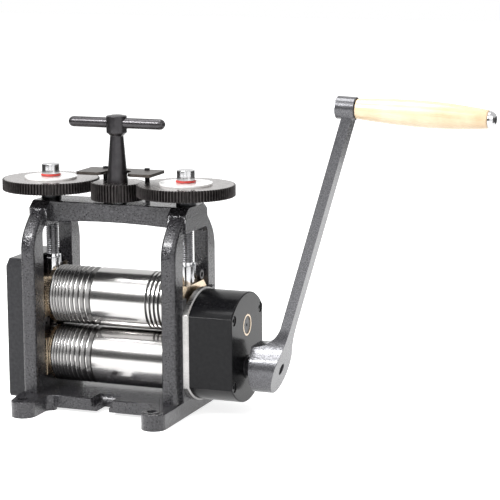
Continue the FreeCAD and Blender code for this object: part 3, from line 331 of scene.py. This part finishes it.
looks = {
    "castPaint": dict(dark=(0.006, 0.006, 0.008), light=(0.066, 0.064, 0.070), metal=0.3, gloss=0.16,
                      cloud=520.0, coarse=720.0, coarseHeight=0.85, coat=0.3, unevenGloss=0.14,
                      contrast=(0.33, 0.67)),
    "rollSteel": dict(dark=(0.50, 0.49, 0.483), light=(0.58, 0.571, 0.563), metal=1.0, gloss=0.19,
                      cloud=20.0, fine=(2600, 0, 0), fineHeight=0.006),
    # The next finish is a darker steel painted on the groove floors as shade.
    "grooveShade": dict(dark=(0.17, 0.167, 0.165), light=(0.25, 0.246, 0.243), metal=1.0, gloss=0.24,
                        cloud=20.0, fine=(2600, 0, 0), fineHeight=0.006),
    "bronze": dict(dark=(0.60, 0.48, 0.34), light=(0.80, 0.66, 0.49), metal=1.0, gloss=0.26, cloud=160.0),
    # The next finish is a dark bronze painted on the bearing blocks as shade.
    "bronzeShade": dict(dark=(0.05, 0.038, 0.026), light=(0.10, 0.078, 0.054), metal=0.8, gloss=0.40,
                        cloud=160.0),
    "paleBronze": dict(dark=(0.52, 0.42, 0.31), light=(0.68, 0.57, 0.44), metal=1.0, gloss=0.26,
                       cloud=160.0),
    "springSteel": dict(dark=(0.30, 0.30, 0.31), light=(0.45, 0.45, 0.46), metal=1.0, gloss=0.28),
    "screwSteel": dict(dark=(0.50, 0.50, 0.51), light=(0.60, 0.60, 0.61), metal=1.0, gloss=0.17,
                       fine=(0, 0, 2600), fineHeight=0.006),
    "threadSteel": dict(dark=(0.14, 0.14, 0.145), light=(0.26, 0.26, 0.27), metal=1.0, gloss=0.36,
                        cloud=500.0),
    "gearSteel": dict(dark=(0.026, 0.023, 0.023), light=(0.060, 0.054, 0.053), metal=0.8, gloss=0.36,
                      cloud=260.0),
    "gearTop": dict(dark=(0.22, 0.20, 0.19), light=(0.34, 0.31, 0.30), metal=1.0, gloss=0.24,
                    cloud=120.0, fine=(300, 300, 300), unevenGloss=0.14, coat=0.3),
    "darkSteel": dict(dark=(0.020, 0.020, 0.022), light=(0.050, 0.050, 0.054), metal=0.7, gloss=0.30,
                      cloud=220.0),
    "oxideSteel": dict(dark=(0.036, 0.034, 0.036), light=(0.062, 0.059, 0.063), metal=0.8, gloss=0.31,
                       fineHeight=0.003, unevenGloss=0.03, coat=0.1),
    "brownedSteel": dict(dark=(0.045, 0.038, 0.034), light=(0.085, 0.074, 0.066), metal=0.8, gloss=0.36,
                         cloud=180.0),
    "dialWhite": dict(dark=(0.78, 0.77, 0.76), light=(0.88, 0.87, 0.86), metal=0.0, gloss=0.14,
                      cloud=220.0, coat=0.4, fineHeight=0.003),
    "sealRed": dict(dark=(0.42, 0.02, 0.015), light=(0.55, 0.04, 0.03), metal=0.0, gloss=0.42),
    "brightSteel": dict(dark=(0.50, 0.51, 0.52), light=(0.66, 0.67, 0.69), metal=1.0, gloss=0.24,
                        cloud=150.0),
    "plateSteel": dict(dark=(0.33, 0.325, 0.32), light=(0.44, 0.43, 0.425), metal=1.0, gloss=0.28,
                       fine=(60, 60, 2200), fineHeight=0.01),
    "boxBlack": dict(dark=(0.005, 0.005, 0.006), light=(0.010, 0.010, 0.011), metal=0.0, gloss=0.20,
                     cloud=240.0, sheen=0.16),
    "coverPaint": dict(dark=(0.010, 0.010, 0.012), light=(0.026, 0.026, 0.029), metal=0.2, gloss=0.22,
                       cloud=300.0, coat=0.1, coarse=620.0, coarseHeight=0.30, sheen=0.25),
    "crankPaint": dict(dark=(0.060, 0.060, 0.065), light=(0.145, 0.145, 0.155), metal=0.5, gloss=0.27,
                       cloud=700.0, coarse=620.0, coarseHeight=0.20, coat=0.2),
    "gripWood": dict(dark=(0.70, 0.50, 0.30), light=(0.86, 0.71, 0.49), metal=0.0, gloss=0.26,
                     cloud=30.0, fine=(24, 800, 800), coat=0.4),
}
finish = {name: makeFinish(name, **look) for name, look in looks.items()}
print("rolling mill: finishes ready")

# The camera's place is in metres. Its azimuth is to the right of straight ahead, its roll in radians.
viewpoint = {
    "place": (0.8204, -1.7471, 0.5040),
    "azimuth": 21.246,
    "down": 10.2386,
    "roll": -0.0057,
    "lens": 140.476,
    "sensor": 36.0,
}


def placeCamera():
    a, d = math.radians(viewpoint["azimuth"]), math.radians(viewpoint["down"])
    forward = Vector((-math.sin(a) * math.cos(d), math.cos(a) * math.cos(d), -math.sin(d)))
    right = forward.cross(Vector((0, 0, 1))).normalized()
    up = right.cross(forward)
    c, s = math.cos(viewpoint["roll"]), math.sin(viewpoint["roll"])
    across, over = right * c + up * s, up * c - right * s
    camera = bpy.data.cameras.new("camera")
    camera.lens = viewpoint["lens"]
    camera.sensor_width = viewpoint["sensor"]
    camera.sensor_height = viewpoint["sensor"]
    camera.sensor_fit = "HORIZONTAL"
    holder = addObject("camera", camera)
    turn = Matrix((across, over, -forward)).transposed().to_4x4()
    holder.matrix_world = Matrix.Translation(viewpoint["place"]) @ turn
    bpy.context.scene.camera = holder


placeCamera()
print("rolling mill: camera placed")

# Grooves are (middle, half width), as deep as they are half wide. The lower roll's tail carries the
# output gear and takes the input shaft's point in a bore. A groove's floor is what lies beyond
# floorFrom from the axis and more than floorDepth below the barrel.
roll = {
    "radius": 29.5,
    "half": 64.8,
    "journal": 14.0,
    "journalEnd": 83.6,
    "upperEnd": 82.2,
    "endRadius": 11.0,
    "endAt": 98.0,
    "step": 12.0,
    "stepEnd": 94.5,
    "tail": 10.0,
    "tailEnd": 109.0,
    "bore": 5.05,
    "boreFrom": 98.0,
    "floorFrom": 20.0,
    "floorDepth": 0.45,
    "rim": 0.5,
    "grooves": [(-61.6, 1.2), (-58.6, 1.3), (-55.2, 1.4), (-51.8, 1.5), (-48.2, 1.6), (-44.2, 1.8),
                (-39.4, 2.0), (-34.0, 2.3), (-28.2, 2.6), (-21.8, 2.9)],
    "fineGrooves": [(41.5, 1.3), (46.0, 1.3), (50.5, 1.3), (55.0, 1.3)],
    "segments": 128,
}


# The corners of a roll from its left end: gear end, journal, barrel with vee grooves, right end.
def rollCorners(grooves, rightEnd):
    r, half, journal = roll["radius"], roll["half"], roll["journal"]
    listed = [(-roll["endAt"], 0, 0), (-roll["endAt"], roll["endRadius"], 0.8),
              (-roll["journalEnd"], roll["endRadius"], 0.2), (-roll["journalEnd"], journal, 0.4),
              (-half, journal, 0.3), (-half, r, 0.8)]
    for middle, wide in grooves:
        listed += [(middle - wide, r, 0.35), (middle, r - wide, 0.12), (middle + wide, r, 0.35)]
    return listed + [(half, r, 0.8), (half, journal, 0.3)] + rightEnd


# The floors of the wire grooves get a darker steel: painted shade in the grooves.
def shadeGrooves(piece, height):
    piece.data.materials.append(finish["grooveShade"])
    for face in piece.data.polygons:
        x, y, z = face.center / mm
        away = math.hypot(y, z - height)
        onFloor = roll["floorFrom"] < away < roll["radius"] - roll["floorDepth"]
        face.material_index = int(onFloor and abs(x) < roll["half"] - roll["rim"])


def rollPiece(name, grooves, rightEnd, height, body, node):
    piece = turnedPiece(name, rollCorners(grooves, rightEnd), "X", (0, 0, height), body,
                        finish["rollSteel"], (node,), steps=3, segments=roll["segments"])
    shadeGrooves(piece, height)


rollPiece("lowerRoll", roll["grooves"], [
    (roll["journalEnd"], roll["journal"], 0.4), (roll["journalEnd"], roll["step"], 0.2),
    (roll["stepEnd"], roll["step"], 0.3), (roll["stepEnd"], roll["tail"], 0.2),
    (roll["tailEnd"], roll["tail"], 0.5), (roll["tailEnd"], roll["bore"], 0.2),
    (roll["boreFrom"], roll["bore"], 0.2), (roll["boreFrom"], 0, 0)],
    mill["lowerAxis"], "lower_roll", "roll_lower")
rollPiece("upperRoll", roll["grooves"] + roll["fineGrooves"],
          [(roll["upperEnd"], roll["journal"], 0.8), (roll["upperEnd"], 0, 0)],
          mill["upperAxis"], "upper_roll", "roll_upper")
print("rolling mill: rolls turned")

# Edge widths of the castings and the places without room for a bevel. The shoulder is a sloping cut
# on the upper corners of the bosses.
casting = {
    "edge": 0.8,
    "coverEdge": 1.2,
    "plateEdge": 0.3,
    "bolts": (69.5, 81.0),
    "ringReach": 9.5,
    "boreEdge": 2.2,
    "boreAbove": 30.0,
    "notch": {"top": 17.0, "middle": 3.5, "half": 13.0, "front": -30.0},
    "bossAbove": 175.0,
    "bossFrom": 62.0,
    "soleTop": 5.0,
    "shoulderAlong": 18.9,
    "shoulderHigh": 206.6,
    "shoulderSlope": (0.593, 0.805),
}


# The casting's bevel keeps off the bores, the low rings round the bolt holes, the notch, the bosses
# and the soles, where its faces would cross.
def castingRoom(middle, length):
    x, y, z = abs(middle.x), abs(middle.y), middle.z
    ring = math.hypot(x - casting["bolts"][0], y - casting["bolts"][1]) < casting["ringReach"]
    bore = z > casting["boreAbove"] and length < casting["boreEdge"]
    cut = casting["notch"]
    notch = z < cut["top"] and abs(middle.x - cut["middle"]) < cut["half"] and middle.y < cut["front"]
    boss = z > casting["bossAbove"] and x > casting["bossFrom"]
    return not (ring or bore or notch or boss or z < casting["soleTop"])


shoulder = [((0, side * casting["shoulderAlong"], casting["shoulderHigh"]),
             (0, side * casting["shoulderSlope"][0], casting["shoulderSlope"][1])) for side in (-1, 1)]
easedCopy("casting", "frame", casting["edge"], "frame", finish["castPaint"], planes=shoulder,
          hasRoom=castingRoom)
easedCopy("gearCover", "gear_cover", casting["coverEdge"], "frame", finish["coverPaint"])
easedCopy("indexPlate", "index_plate", casting["plateEdge"], "frame", finish["brownedSteel"],
          steps=2)
print("rolling mill: casting, cover and index plate eased")

# From its foot in the bearing block up: cap, neck, thread, seat of the gear and dial, ring groove, head.
screw = {
    "capLow": 126.8,
    "capHigh": 145.7,
    "cap": 7.1,
    "capEdge": 0.7,
    "neck": 5.4,
    "neckHigh": 149.2,
    "shank": 6.3,
    "shankHigh": 149.9,
    "thread": 6.5,
    "threadDepth": 0.75,
    "lead": 2.0,
    "threadLow": 149.6,
    "threadHigh": 213.0,
    "collar": 212.8,
    "collarRadius": 6.0,
    "collarEdge": 0.6,
    "gearGap": 0.4,
    "gearSeat": 7.0,
    "dialTop": 229.0,
    "ringSeat": 7.7,
    "headLow": 231.3,
    "head": 9.0,
    "headHigh": 241.3,
    "headEdge": 0.4,
}

# The thread's grid has points round and rows per lead. It fades out over a length at both ends.
threadCut = {"around": 48, "rows": 10, "fade": 1.2, "steep": 1.25, "floor": 0.12, "sharp": 50.0}


# radius(t, z) = thread - depth * tent((z + lead * t / 2 pi) / lead), fading out at both ends:
# the turns climb to the left.
def screwThread(name, across, body):
    lead, count = screw["lead"], threadCut["around"]
    t = np.linspace(0, 2 * math.pi, count, endpoint=False)
    z = np.arange(screw["threadLow"], screw["threadHigh"], lead / threadCut["rows"])
    height, angle = np.meshgrid(z, t, indexing="ij")
    phase = (height + lead * angle / (2 * math.pi)) / lead
    tent = np.clip(np.abs(2 * (phase % 1) - 1) * threadCut["steep"] - threadCut["floor"], 0, 1)
    fade = np.clip(np.minimum(height - z[0], z[-1] - height) / threadCut["fade"], 0, 1)
    radius = screw["thread"] - screw["threadDepth"] * tent * fade
    points = np.stack([across + radius * np.cos(angle), radius * np.sin(angle), height], -1)
    low, high = np.array([across, 0, z[0]]), np.array([across, 0, z[-1]])
    points = np.concatenate([np.tile(low, (1, count, 1)), points, np.tile(high, (1, count, 1))])
    makePiece(name, points.reshape(-1, 3), gridFaces(len(points), count), body,
              finish["threadSteel"], sharpAngle=threadCut["sharp"])


def screwFoot(name, across, body, node):
    cap, capLow, capHigh, edge = screw["cap"], screw["capLow"], screw["capHigh"], screw["capEdge"]
    turnedPiece(name, [
        (capLow, 0, 0), (capLow, cap - edge, 0.2), (capLow + edge, cap, 0.3), (capHigh, cap, 0.3),
        (capHigh, screw["neck"], 0.1), (screw["neckHigh"], screw["neck"], 0.1),
        (screw["neckHigh"], screw["shank"], 0.4), (screw["shankHigh"], screw["shank"], 0),
        (screw["shankHigh"], 0, 0)], "Z", (across, 0, 0), body, finish["screwSteel"], (node,))


def screwHead(name, across, body):
    collar, seat, low, high = screw["collar"], screw["gearSeat"], screw["headLow"], screw["headHigh"]
    turnedPiece(name, [
        (collar, 0, 0), (collar, screw["collarRadius"], 0.2),
        (collar + screw["collarEdge"], screw["thread"], 0.2),
        (mill["gearLow"] - screw["gearGap"], screw["thread"], 0.1), (mill["gearLow"], seat, 0.1),
        (screw["dialTop"], seat, 0.1), (screw["dialTop"], screw["ringSeat"], 0.1),
        (low, screw["ringSeat"], 0.1), (low, screw["head"], 0.3),
        (high - screw["headEdge"], screw["head"], 0.1), (high, screw["head"] - screw["headEdge"], 0.1),
        (high, 0, 0)], "Z", (across, 0, 0), body, finish["screwSteel"])


# The nut sits in the crossbar, its flange on top.
nut = {"low": 184.0, "flangeLow": 206.5, "top": 214.0, "edge": 0.8, "bore": 6.56, "radius": 8.5,
       "flange": 10.1}


def screwNut(name, across, node):
    bore, radius, flange, top = nut["bore"], nut["radius"], nut["flange"], nut["top"]
    turnedPiece(name, [
        (nut["low"], bore, 0.2), (nut["low"], radius, 0.3), (nut["flangeLow"], radius, 0.1),
        (nut["flangeLow"], flange, 0.2), (top - nut["edge"], flange, 0.4), (top, flange - nut["edge"], 0.3),
        (top, bore, 0.2)], "Z", (across, 0, 0), "frame", finish["darkSteel"], (node,),
        ring=True)


screwGear = {"teeth": 96, "tip": 49.0, "root": 46.8, "bore": 7.02}
dial = {"radius": 26.5, "edge": 0.4}
sealRing = {"height": 230.15, "radius": 8.9, "wire": 1.15, "points": 12}


def screwDial(name, across, body, node):
    bore, radius, low, top = screwGear["bore"], dial["radius"], mill["gearTop"], screw["dialTop"]
    turnedPiece(name, [
        (low, bore, 0.1), (low, radius, 0.1), (top - dial["edge"], radius, 0.3),
        (top, radius - dial["edge"], 0.3), (top, bore, 0.1)], "Z", (across, 0, 0), body,
        finish["dialWhite"], (node,), ring=True)


def screwRing(name, across, body, node):
    around = np.linspace(0, 2 * math.pi, sealRing["points"], endpoint=False)
    outline = [(sealRing["height"] + sealRing["wire"] * math.sin(a),
                sealRing["radius"] + sealRing["wire"] * math.cos(a), 0) for a in around]
    turnedPiece(name, outline, "Z", (across, 0, 0), body, finish["sealRed"], (node,), ring=True)


# The spring stands between the blocks, from its foot on the lower block to its seat under the upper one.
spring = {"low": 67.35, "high": 89.65, "radius": 2.9, "wire": 0.6, "turns": 8.0, "perTurn": 28, "round": 10,
          "closed": 0.9, "foot": 66.7, "seat": 90.3}


# A round wire along a helix with closed ends:
# point(u, v) = spine(u) + wire * (cos v * outward + sin v * up)
def coilPiece(name, across, node):
    turns, radius, count = spring["turns"], spring["radius"], spring["round"]
    u = np.linspace(0, turns * 2 * math.pi, int(turns * spring["perTurn"]))
    v = np.linspace(0, 2 * math.pi, count, endpoint=False)
    climb = np.clip((u / (2 * math.pi) - spring["closed"]) / (turns - 2 * spring["closed"]), 0, 1)
    rise = spring["low"] + (spring["high"] - spring["low"]) * climb
    spine = np.stack([across + radius * np.cos(u), radius * np.sin(u), rise], -1)
    outward = np.stack([np.cos(u), np.sin(u), np.zeros_like(u)], -1)
    ring = spring["wire"] * (np.cos(v)[None, :, None] * outward[:, None, :]
                             + np.sin(v)[None, :, None] * np.array([0, 0, 1.0]))
    points = spine[:, None, :] + ring
    ends = [np.repeat(spine[:1, None], count, 1), np.repeat(spine[-1:, None], count, 1)]
    points = np.concatenate([ends[0], points, ends[1]])
    bodies = ("frame", "upper_blocks", spring["foot"], spring["seat"])
    makePiece(name, points.reshape(-1, 3), gridFaces(len(points), count), bodies,
              finish["springSteel"], (node,))


# The flange's rim is drawn in beyond rimFrom, up to flangeEnd across. The ear and the face round
# the flange get a dark bronze: painted shade.
block = {"edge": 0.5, "rim": 29.4 / 31.3, "rimFrom": 29.0, "flangeEnd": 68.28, "earFrom": 13.0,
         "earAbove": 129.2, "bodyFace": 67.8, "faceReach": 0.15}


# Picks the block faces that get the painted shade: the ear and the face round the flange.
def inShade(middle):
    ear = abs(middle.y) > block["earFrom"] and middle.z > block["earAbove"]
    return ear or abs(abs(middle.x) - block["bodyFace"]) < block["faceReach"]


def bearingBlock(name, node, body, height):
    easedCopy(name, node, block["edge"], body, finish["bronze"], steps=2,
              waist=(block["rimFrom"], block["flangeEnd"], height, block["rim"]),
              second=(finish["bronzeShade"], inShade))


# The hook is a bent strip: its profile (along, height) is drawn across from inner to outer.
hook = {
    "inner": 69.6,
    "outer": 79.2,
    "edge": 0.2,
    "sharp": 25.0,
    "profile": [(5.8, 148.0), (9.6, 148.0), (9.6, 138.0), (14.4, 132.6), (22.6, 132.6), (22.6, 131.0),
                (13.6, 131.0), (8.0, 137.2), (8.0, 146.4), (5.8, 146.4)],
}


def hookStrip(name, side, node):
    outline = hook["profile"]
    count = len(outline)
    points = np.array([[side * across, along, height] for across in (hook["inner"], hook["outer"])
                       for along, height in outline])
    around = [[i, (i + 1) % count, (i + 1) % count + count, i + count] for i in range(count)]
    caps = [list(range(count)), list(range(count, 2 * count))]
    strip = makePiece(name, points, around + caps, "upper_blocks", finish["brightSteel"],
                      (node,), sharpAngle=hook["sharp"])
    bevel = strip.modifiers.new("edges", "BEVEL")
    bevel.width = hook["edge"] * mm
    bevel.segments = 2


for ending, side in (("Left", -1), ("Right", 1)):
    hand = ending.lower()
    across = side * mill["screwAcross"]
    body = hand + "_screw"
    screwFoot("screwFoot" + ending, across, body, "screw_" + hand)
    screwThread("screwThread" + ending, across, body)
    screwHead("screwHead" + ending, across, body)
    screwNut("nut" + ending, across, "nut_" + hand)
    toothedPiece("gear" + ending, screwGear["teeth"], screwGear["tip"], screwGear["root"], screwGear["bore"],
                 mill["gearLow"], mill["gearTop"], across, body, ("gear_" + hand,), halfPitch=True)
    screwDial("dial" + ending, across, body, "dial_" + hand)
    screwRing("ring" + ending, across, body, "oring_" + hand)
    coilPiece("spring" + ending, across, "spring_" + hand)
    hookStrip("hook" + ending, side, "hook_" + hand)
    bearingBlock("upperBlock" + ending, "block_upper_" + hand, "upper_blocks", mill["upperAxis"])
    bearingBlock("lowerBlock" + ending, "block_lower_" + hand, "frame", mill["lowerAxis"])
print("rolling mill: adjusting screws, gears and blocks made")

# The pinion turns both gears. Its post tapers up to the hub that holds the T bar.
pinion = {"teeth": 52, "tip": 27.0, "root": 24.8, "bore": 8.02, "low": 208.6, "high": 226.0}
post = {"bore": 5.05, "spigot": 8.0, "foot": 10.5, "waist": 6.7, "hub": 10.3, "taperTop": 272.2,
        "hubLow": 275.6, "hubHigh": 292.2, "crown": (293.2, 5.0), "top": 293.4}
teeBar = {"height": 285.0, "radius": 5.3, "end": [(48.9, 4.95, 0.8), (50.7, 3.8, 0.8), (51.9, 1.9, 0.4)],
          "straight": 47.0, "tip": 52.2}

toothedPiece("pinionWheel", pinion["teeth"], pinion["tip"], pinion["root"], pinion["bore"], pinion["low"],
             pinion["high"], 0, "handle", ("pinion",))
turnedPiece("handlePost", [
    (pinion["low"], post["bore"], 0.1), (pinion["low"], post["spigot"], 0.1),
    (pinion["high"], post["spigot"], 0.1), (pinion["high"], post["foot"], 0.3),
    (post["taperTop"], post["waist"], 0.8), (post["hubLow"], post["hub"], 0.6),
    (post["hubHigh"], post["hub"], 0.9), (*post["crown"], 6.0), (post["top"], 0, 0)],
    "Z", (0, 0, 0), "handle", finish["oxideSteel"], ("post",))
rightHalf = [(teeBar["straight"], teeBar["radius"], 0.8), *teeBar["end"], (teeBar["tip"], 0, 0)]
leftHalf = [(-along, radius, size) for along, radius, size in reversed(rightHalf)]
turnedPiece("teeBar", leftHalf + rightHalf, "X", (0, 0, teeBar["height"]), "handle",
            finish["oxideSteel"], ("tee_bar",))
print("rolling mill: handle made")

# Each bush is (from, to, bore, radius) along X.
gearbox = {
    "plateEdge": 0.4,
    "housingEdge": 0.7,
    "inputBush": (131.4, 139.0, 9.25, 11.5),
    "jackBush": (131.5, 138.0, 8.85, 10.9),
}


# The rounds are those of the corners at the bore's far end, the rim's far end and the rim's start.
def bushPiece(name, size, rounds, height, material, node):
    start, end, bore, radius = size
    turnedPiece(name, [(start, bore, 0.1), (end, bore, rounds[0]), (end, radius, rounds[1]),
                       (start, radius, rounds[2])], "X", (0, 0, height), "frame", material, (node,),
                ring=True)


easedCopy("gearboxPlate", "back_plate", gearbox["plateEdge"], "frame", finish["plateSteel"],
          steps=2)
easedCopy("gearboxHousing", "housing", gearbox["housingEdge"], "frame", finish["boxBlack"])
bushPiece("inputBush", gearbox["inputBush"], (0.3, 0.4, 0.1), mill["lowerAxis"],
          finish["darkSteel"], "bush_input")
bushPiece("jackBush", gearbox["jackBush"], (0.2, 0.2, 0.1), mill["jackAxis"], finish["paleBronze"],
          "bush_jack_outer")
print("rolling mill: gearbox made")

# The grip swells towards its middle; wood and bolt lean a little down to the right.
grip = {
    "place": (240.4, 0, 307.8),
    "lean": 2.56,
    "bore": 4.0,
    "profile": [(10, 9.1, 0.4), (10.6, 9.7, 1.0), (30, 11.1, 60), (50, 12.15, 80), (70, 12.6, 120),
                (85, 12.55, 120), (100, 12.0, 80), (114, 11.05, 60), (124, 10.1, 60), (136.7, 8.8, 1.5),
                (137.5, 8.0, 0.5)],
}
gripBolt = {
    "start": -16.8,
    "radius": 3.95,
    "shoulder": (9.2, 9.7, 7.0),
    "headFrom": 137.7,
    "head": 7.9,
    "dome": [(140, 7.9, 0.5), (142.6, 6.4, 3), (144.4, 3.8, 3), (145.1, 0, 0)],
}
crank = {"edge": 1.2}

easedCopy("crankArm", "crank", crank["edge"], "crank", finish["crankPaint"])
woodStart, woodEnd = grip["profile"][0][0], grip["profile"][-1][0]
turnedPiece("gripHandle", [(woodStart, grip["bore"], 0.1), *grip["profile"], (woodEnd, grip["bore"], 0.1)],
            "X", grip["place"], "grip", finish["gripWood"], ("grip",), lean=grip["lean"],
            ring=True)
shank, (washerFrom, washerTo, washer) = gripBolt["radius"], gripBolt["shoulder"]
turnedPiece("gripBolt", [
    (gripBolt["start"], 0, 0), (gripBolt["start"], shank, 0.5), (washerFrom, shank, 0.1),
    (washerFrom, washer, 0.1), (washerTo, washer, 0.1), (washerTo, shank, 0.1),
    (gripBolt["headFrom"], shank, 0.1), (gripBolt["headFrom"], gripBolt["head"], 0.3), *gripBolt["dome"]],
    "X", grip["place"], "crank", finish["screwSteel"], ("grip_bolt",), lean=grip["lean"])
print("rolling mill: crank made")

# The CAD nodes that stay as they are, by the finish they get.
kept = {
    "oxideSteel": ("crossbolt_left", "crossbolt_right"),
    "brightSteel": ("stud", "grip_nut"),
    "gearSteel": ("roll_gear_upper", "roll_gear_lower", "jack_gear", "output_gear"),
    "bronze": ("bush_jack_inner",),
    "darkSteel": ("standoffs", "index_screws", "cover_screws", "plate_screws", "housing_screws",
                  "input_shaft", "jackshaft", "hub_screw"),
}
for look, nodes in kept.items():
    for node in nodes:
        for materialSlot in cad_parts[node].material_slots:
            materialSlot.material = finish[look]
print("rolling mill: kept nodes finished")

# Headings are degrees right of straight ahead. A flag spans two of them at a distance, up to a
# height, both in metres.
studio = {
    "floor": 0.80,
    "floorHalf": 6.0,
    "floorRough": 0.9,
    "floorSheen": 0.1,
    "glow": 0.78,
    "sky": 0.9,
    "skyStrength": 0.55,
    "panel": 0.07,
    "mirrored": -21.0,
    "aim": 0.1,
    "flags": {"frontFlag": (-45, 1, 2.4, 1.18), "leftFlag": (-94, -47, 0.9, 0.45),
              "leftRearFlag": (-134, -94, 1.0, 0.45), "rightFlag": (86, 122, 0.95, 0.45),
              "rightRearFlag": (122, 163, 1.0, 0.45), "slimFlag": (-6, -1, 1.2, 0.25),
              "slimRightFlag": (36.5, 40, 1.2, 0.22)},
}


def stagePanel(name, corners, material):
    mesh = bpy.data.meshes.new(name)
    mesh.from_pydata(corners, [], [tuple(range(len(corners)))])
    mesh.materials.append(material)
    panel = addObject(name, mesh)
    return panel


# One for rays that a camera, a mirror or glass sends straight here, zero for scattered light.
def seenDirectly(tree):
    path = addNode(tree, "LightPath")
    last = path.outputs["Is Camera Ray"]
    for kind in ("Is Glossy Ray", "Is Transmission Ray"):
        larger = addNode(tree, "Math", operation="MAXIMUM")
        tree.links.new(last, larger.inputs[0])
        tree.links.new(path.outputs[kind], larger.inputs[1])
        last = larger.outputs[0]
    return last


# A matt grey of one level, as a new material and its shader.
def mattGrey(name, level, roughness):
    material = bpy.data.materials.new(name)
    material.use_nodes = True
    shader = material.node_tree.nodes["Principled BSDF"]
    shader.inputs["Base Color"].default_value = (level, level, level, 1)
    shader.inputs["Roughness"].default_value = roughness
    return material, shader


# The floor glows a little where it is seen directly, on top of its lit colour: it comes out
# white with a faint shadow.
def floorFinish():
    material, shader = mattGrey("floorFinish", studio["floor"], studio["floorRough"])
    tree = material.node_tree
    shader.inputs["Specular IOR Level"].default_value = studio["floorSheen"]
    shader.inputs["Emission Color"].default_value = (1, 1, 1, 1)
    glow = addNode(tree, "Math", operation="MULTIPLY")
    glow.inputs[1].default_value = studio["glow"]
    tree.links.new(seenDirectly(tree), glow.inputs[0])
    tree.links.new(glow.outputs[0], shader.inputs["Emission Strength"])
    return material


# A place at a heading, a height angle and a distance in metres from a point above the origin.
def headingPlace(heading, height, distance):
    a, b = math.radians(heading), math.radians(height)
    return (distance * math.sin(a) * math.cos(b), -distance * math.cos(a) * math.cos(b),
            studio["aim"] + distance * math.sin(b))


wide = studio["floorHalf"]
stagePanel("floor", [(-wide, -wide, 0), (wide, -wide, 0), (wide, wide, 0), (-wide, wide, 0)], floorFinish())
darkWall = mattGrey("panelFinish", studio["panel"], 1.0)[0]

# Dark flags that give polished metal its bands: only reflections meet them, so they hide nothing
# from any side and cast no shadow.
for name, (fromAngle, toAngle, away, top) in studio["flags"].items():
    one, two = headingPlace(fromAngle, 0, away), headingPlace(toAngle, 0, away)
    flag = stagePanel(name, [(one[0], one[1], 0.0), (two[0], two[1], 0.0), (two[0], two[1], top),
                             (one[0], one[1], top)], darkWall)
    flag.visible_camera = False
    flag.visible_diffuse = False
    flag.visible_shadow = False

# Each lamp's place, what it points at and its size are in metres.
lamps = {
    "keyLamp": dict(place=headingPlace(studio["mirrored"], 47, 2.0), target=(0, 0, 0.12), size=(1.5, 0.9),
                    watts=14.0),
    "glintLamp": dict(place=headingPlace(studio["mirrored"] - 6, 40, 1.8), target=(0, 0, 0.15),
                      size=(0.5, 0.34), watts=21.0),
    "fillLamp": dict(place=(1.9, -1.1, 1.3), target=(0.05, 0, 0.12), size=(1.0, 1.4), watts=9.5),
    "topLamp": dict(place=(-0.35, 0.1, 2.0), target=(0.0, 0, 0.1), size=(1.0, 0.8), watts=20.0),
}


def areaLamp(name, place, target, size, watts):
    lamp = bpy.data.lights.new(name, "AREA")
    lamp.shape = "RECTANGLE"
    lamp.size, lamp.size_y = size
    lamp.energy = watts
    holder = addObject(name, lamp)
    holder.location = place
    aim = Vector(target) - Vector(place)
    holder.rotation_euler = aim.to_track_quat("-Z", "Y").to_euler()


for name, lamp in lamps.items():
    areaLamp(name, **lamp)


# Pale light from all round, and pure white where the world is seen directly.
def whiteWorld():
    world = bpy.data.worlds.new("studio")
    world.use_nodes = True
    tree = world.node_tree
    light = tree.nodes["Background"]
    light.inputs["Color"].default_value = (studio["sky"], studio["sky"], studio["sky"], 1)
    light.inputs["Strength"].default_value = studio["skyStrength"]
    white = addNode(tree, "Background", Color=(1, 1, 1, 1), Strength=1.0)
    mix = addNode(tree, "MixShader")
    tree.links.new(seenDirectly(tree), mix.inputs["Fac"])
    tree.links.new(light.outputs["Background"], mix.inputs[1])
    tree.links.new(white.outputs["Background"], mix.inputs[2])
    tree.links.new(mix.outputs["Shader"], tree.nodes["World Output"].inputs["Surface"])
    bpy.context.scene.world = world


whiteWorld()
bpy.context.scene.view_settings.view_transform = "Standard"
print("rolling mill: studio lit")
